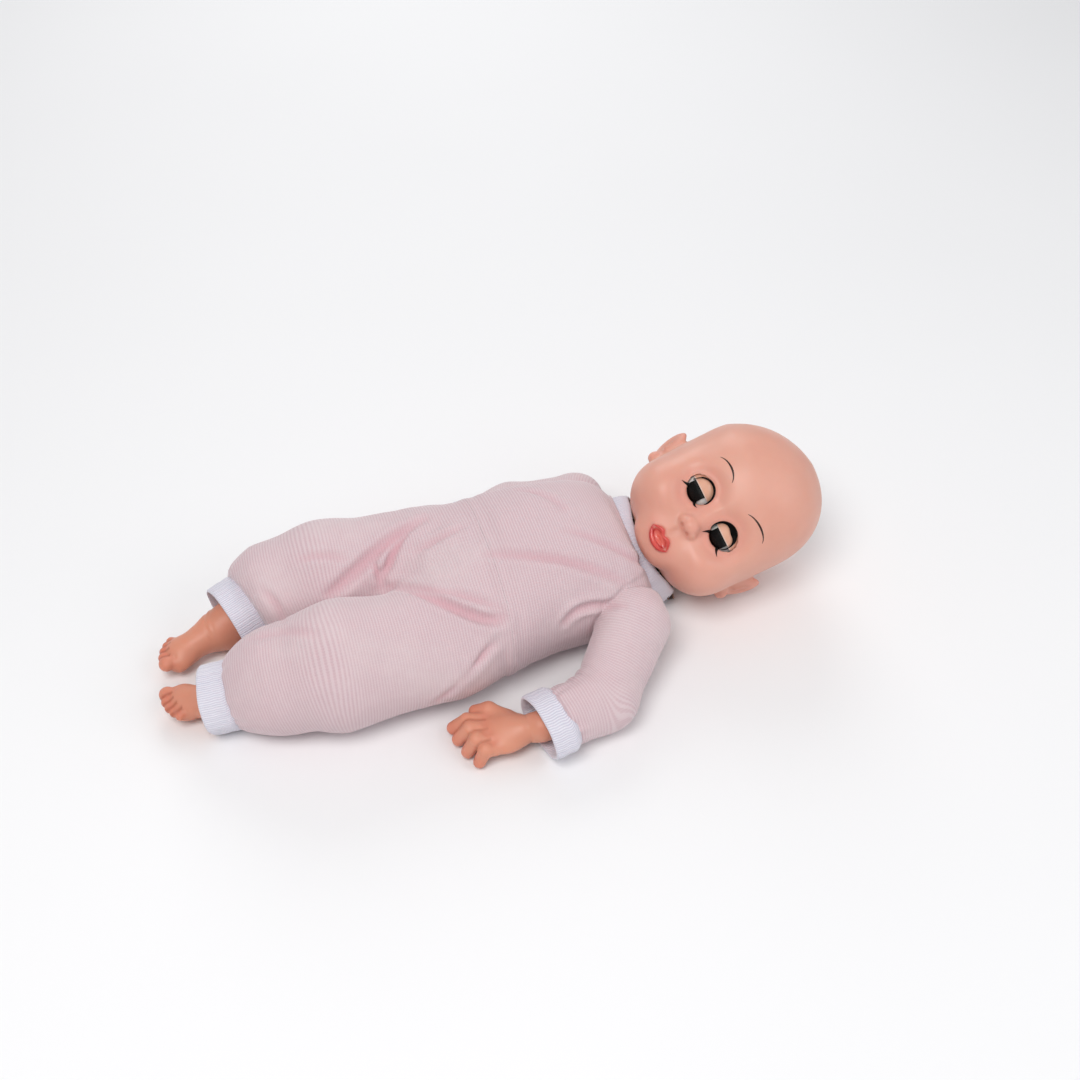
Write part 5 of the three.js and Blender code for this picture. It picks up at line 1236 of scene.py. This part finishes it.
for side, o in halves.items(): filled(o, 5.0, 1.2, held_leg(side), 250.0)
for side, o in sleeves.items(): filled(o, 4.0, 0.9, held_arm(side), 350.0)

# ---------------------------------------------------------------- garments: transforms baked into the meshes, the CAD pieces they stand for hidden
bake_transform(BODICE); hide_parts("romper_bodice")
for side, o in halves.items():
    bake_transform(o)
    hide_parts("pant_leg_" + side, "thigh_" + side, "romper_seat")
for side, o in sleeves.items():
    s = ARM[side]["s"]
    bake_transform(o)
    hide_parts("sleeve_" + side, "upper_arm_" + side)

# ---------------------------------------------------------------- camera, floor, light
cam = bpy.data.objects.new("camera", bpy.data.cameras.new("camera")); scene.collection.objects.link(cam)
cam.data.sensor_width = 36; cam.data.lens = 49.33; cam.data.clip_start = 0.02; cam.data.clip_end = 20
M = Matrix.Identity(4)
for i in range(3):
    M[i][0], M[i][1], M[i][2], M[i][3] = VR[i], VU[i], -VD[i], CAM[i] * 0.001
cam.matrix_world = M
scene.camera = cam

FLOOR = Mat("Pale floor", 0.7)
FLOOR.color(FLOOR.mix(FLOOR.noise(3, 2), lin(246, 246, 247), lin(242, 242, 243)))
floor = mesh("floor", [(-4, -4, 0), (4, -4, 0), (4, 4, 0), (-4, 4, 0)], [(0, 1, 2, 3)], mm=False)
floor.data.materials.append(FLOOR.m); floor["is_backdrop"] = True

def area(name, loc, target, size, power, colour=(1, 1, 1)):
    l = bpy.data.lights.new(name, "AREA"); l.shape = "DISK"; l.size = size; l.energy = power; l.color = colour
    o = bpy.data.objects.new(name, l); scene.collection.objects.link(o)
    o.location = loc; o.rotation_euler = (Vector(target) - Vector(loc)).to_track_quat("-Z", "Y").to_euler()
area("key", (-0.45, -0.55, 1.25), (0, 0, 0.03), 0.7, 10.1, (1.0, 0.985, 0.97))
area("fill", (0.9, -0.7, 0.9), (0.03, 0, 0.03), 0.9, 4.05, (0.97, 0.985, 1.0))
area("rim", (0.2, 1.1, 0.8), (0, 0, 0.03), 0.8, 4.3)
world = bpy.data.worlds.new("studio"); scene.world = world; world.use_nodes = True
world.node_tree.nodes["Background"].inputs[0].default_value = (0.95, 0.96, 0.98, 1)
world.node_tree.nodes["Background"].inputs[1].default_value = 0.435
scene.view_settings.view_transform = "Standard"

# ---------------------------------------------------------------- the CAD pieces that stay, dressed
FINISH = {
    "eye_socket": plain("Socket cup plastic", (236, 230, 220), 0.45, grain=700),
    "eye_axle": plain("Steel wire", (178, 182, 188), 0.28, 1.0, grain=1400, strength=0.2),
    "eye_weight": plain("Cast zinc", (142, 145, 150), 0.45, 1.0, grain=500, strength=0.4, spread=24),
    "neck_casing": woven("Brown neck cloth", (64, 40, 28), (30, 18, 12)),
    "tie": plain("Nylon tie", (238, 238, 232), 0.4, grain=400),
    "cloth_trunk": CALICO,
    "stuffing_wad": plain("Polyester wad", (243, 241, 234), 0.98, grain=260, strength=0.8, spread=14),
    "loop_tape": plain("Loop tape", (240, 240, 236), 0.96, grain=1500, strength=0.9, spread=16),
    "hook_tape": plain("Hook tape", (232, 232, 228), 0.7, grain=1900, strength=0.9, spread=22),
    "romper_seat": PINK,
    "case": plain("Voice box case", (232, 228, 220), 0.5, grain=1100, strength=0.25),
    "screw": plain("Plated steel", (190, 193, 198), 0.3, 1.0, grain=900, strength=0.2),
    "board": plain("Circuit board", (28, 104, 58), 0.42, grain=380, strength=0.2, spread=14),
    "switch": plain("Switch plastic", (40, 40, 42), 0.5, grain=800),
    "speaker": plain("Speaker steel", (88, 90, 94), 0.4, 0.7, grain=600, strength=0.2, spread=20),
    "button": plain("Red button", (206, 58, 56), 0.35, grain=500, strength=0.1),
}
def finish_for(n):
    for k, m in (("eye_socket", "eye_socket"), ("eye_axle", "eye_axle"), ("eye_weight", "eye_weight"), ("neck_casing", "neck_casing"), ("cloth_trunk", "cloth_trunk"), ("stuffing_wad", "stuffing_wad"),
                 ("loop_tape", "loop_tape"), ("hook_tape", "hook_tape"), ("romper_seat", "romper_seat"), ("screw", "screw"), ("button_cell", "screw"), ("voice_box", "case"), ("battery_cover", "case"),
                 ("circuit_board", "board"), ("tact_switch", "switch"), ("speaker", "speaker"), ("press_button", "button"), ("_tie", "tie")):
        if k in n: return FINISH[m]
    return None
for n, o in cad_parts.items():
    m = finish_for(n)
    if m is None or o.hide_render: continue
    if not o.material_slots: o.data.materials.append(m)
    for s in o.material_slots:
        s.link = "OBJECT"; s.material = m

lo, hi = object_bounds()
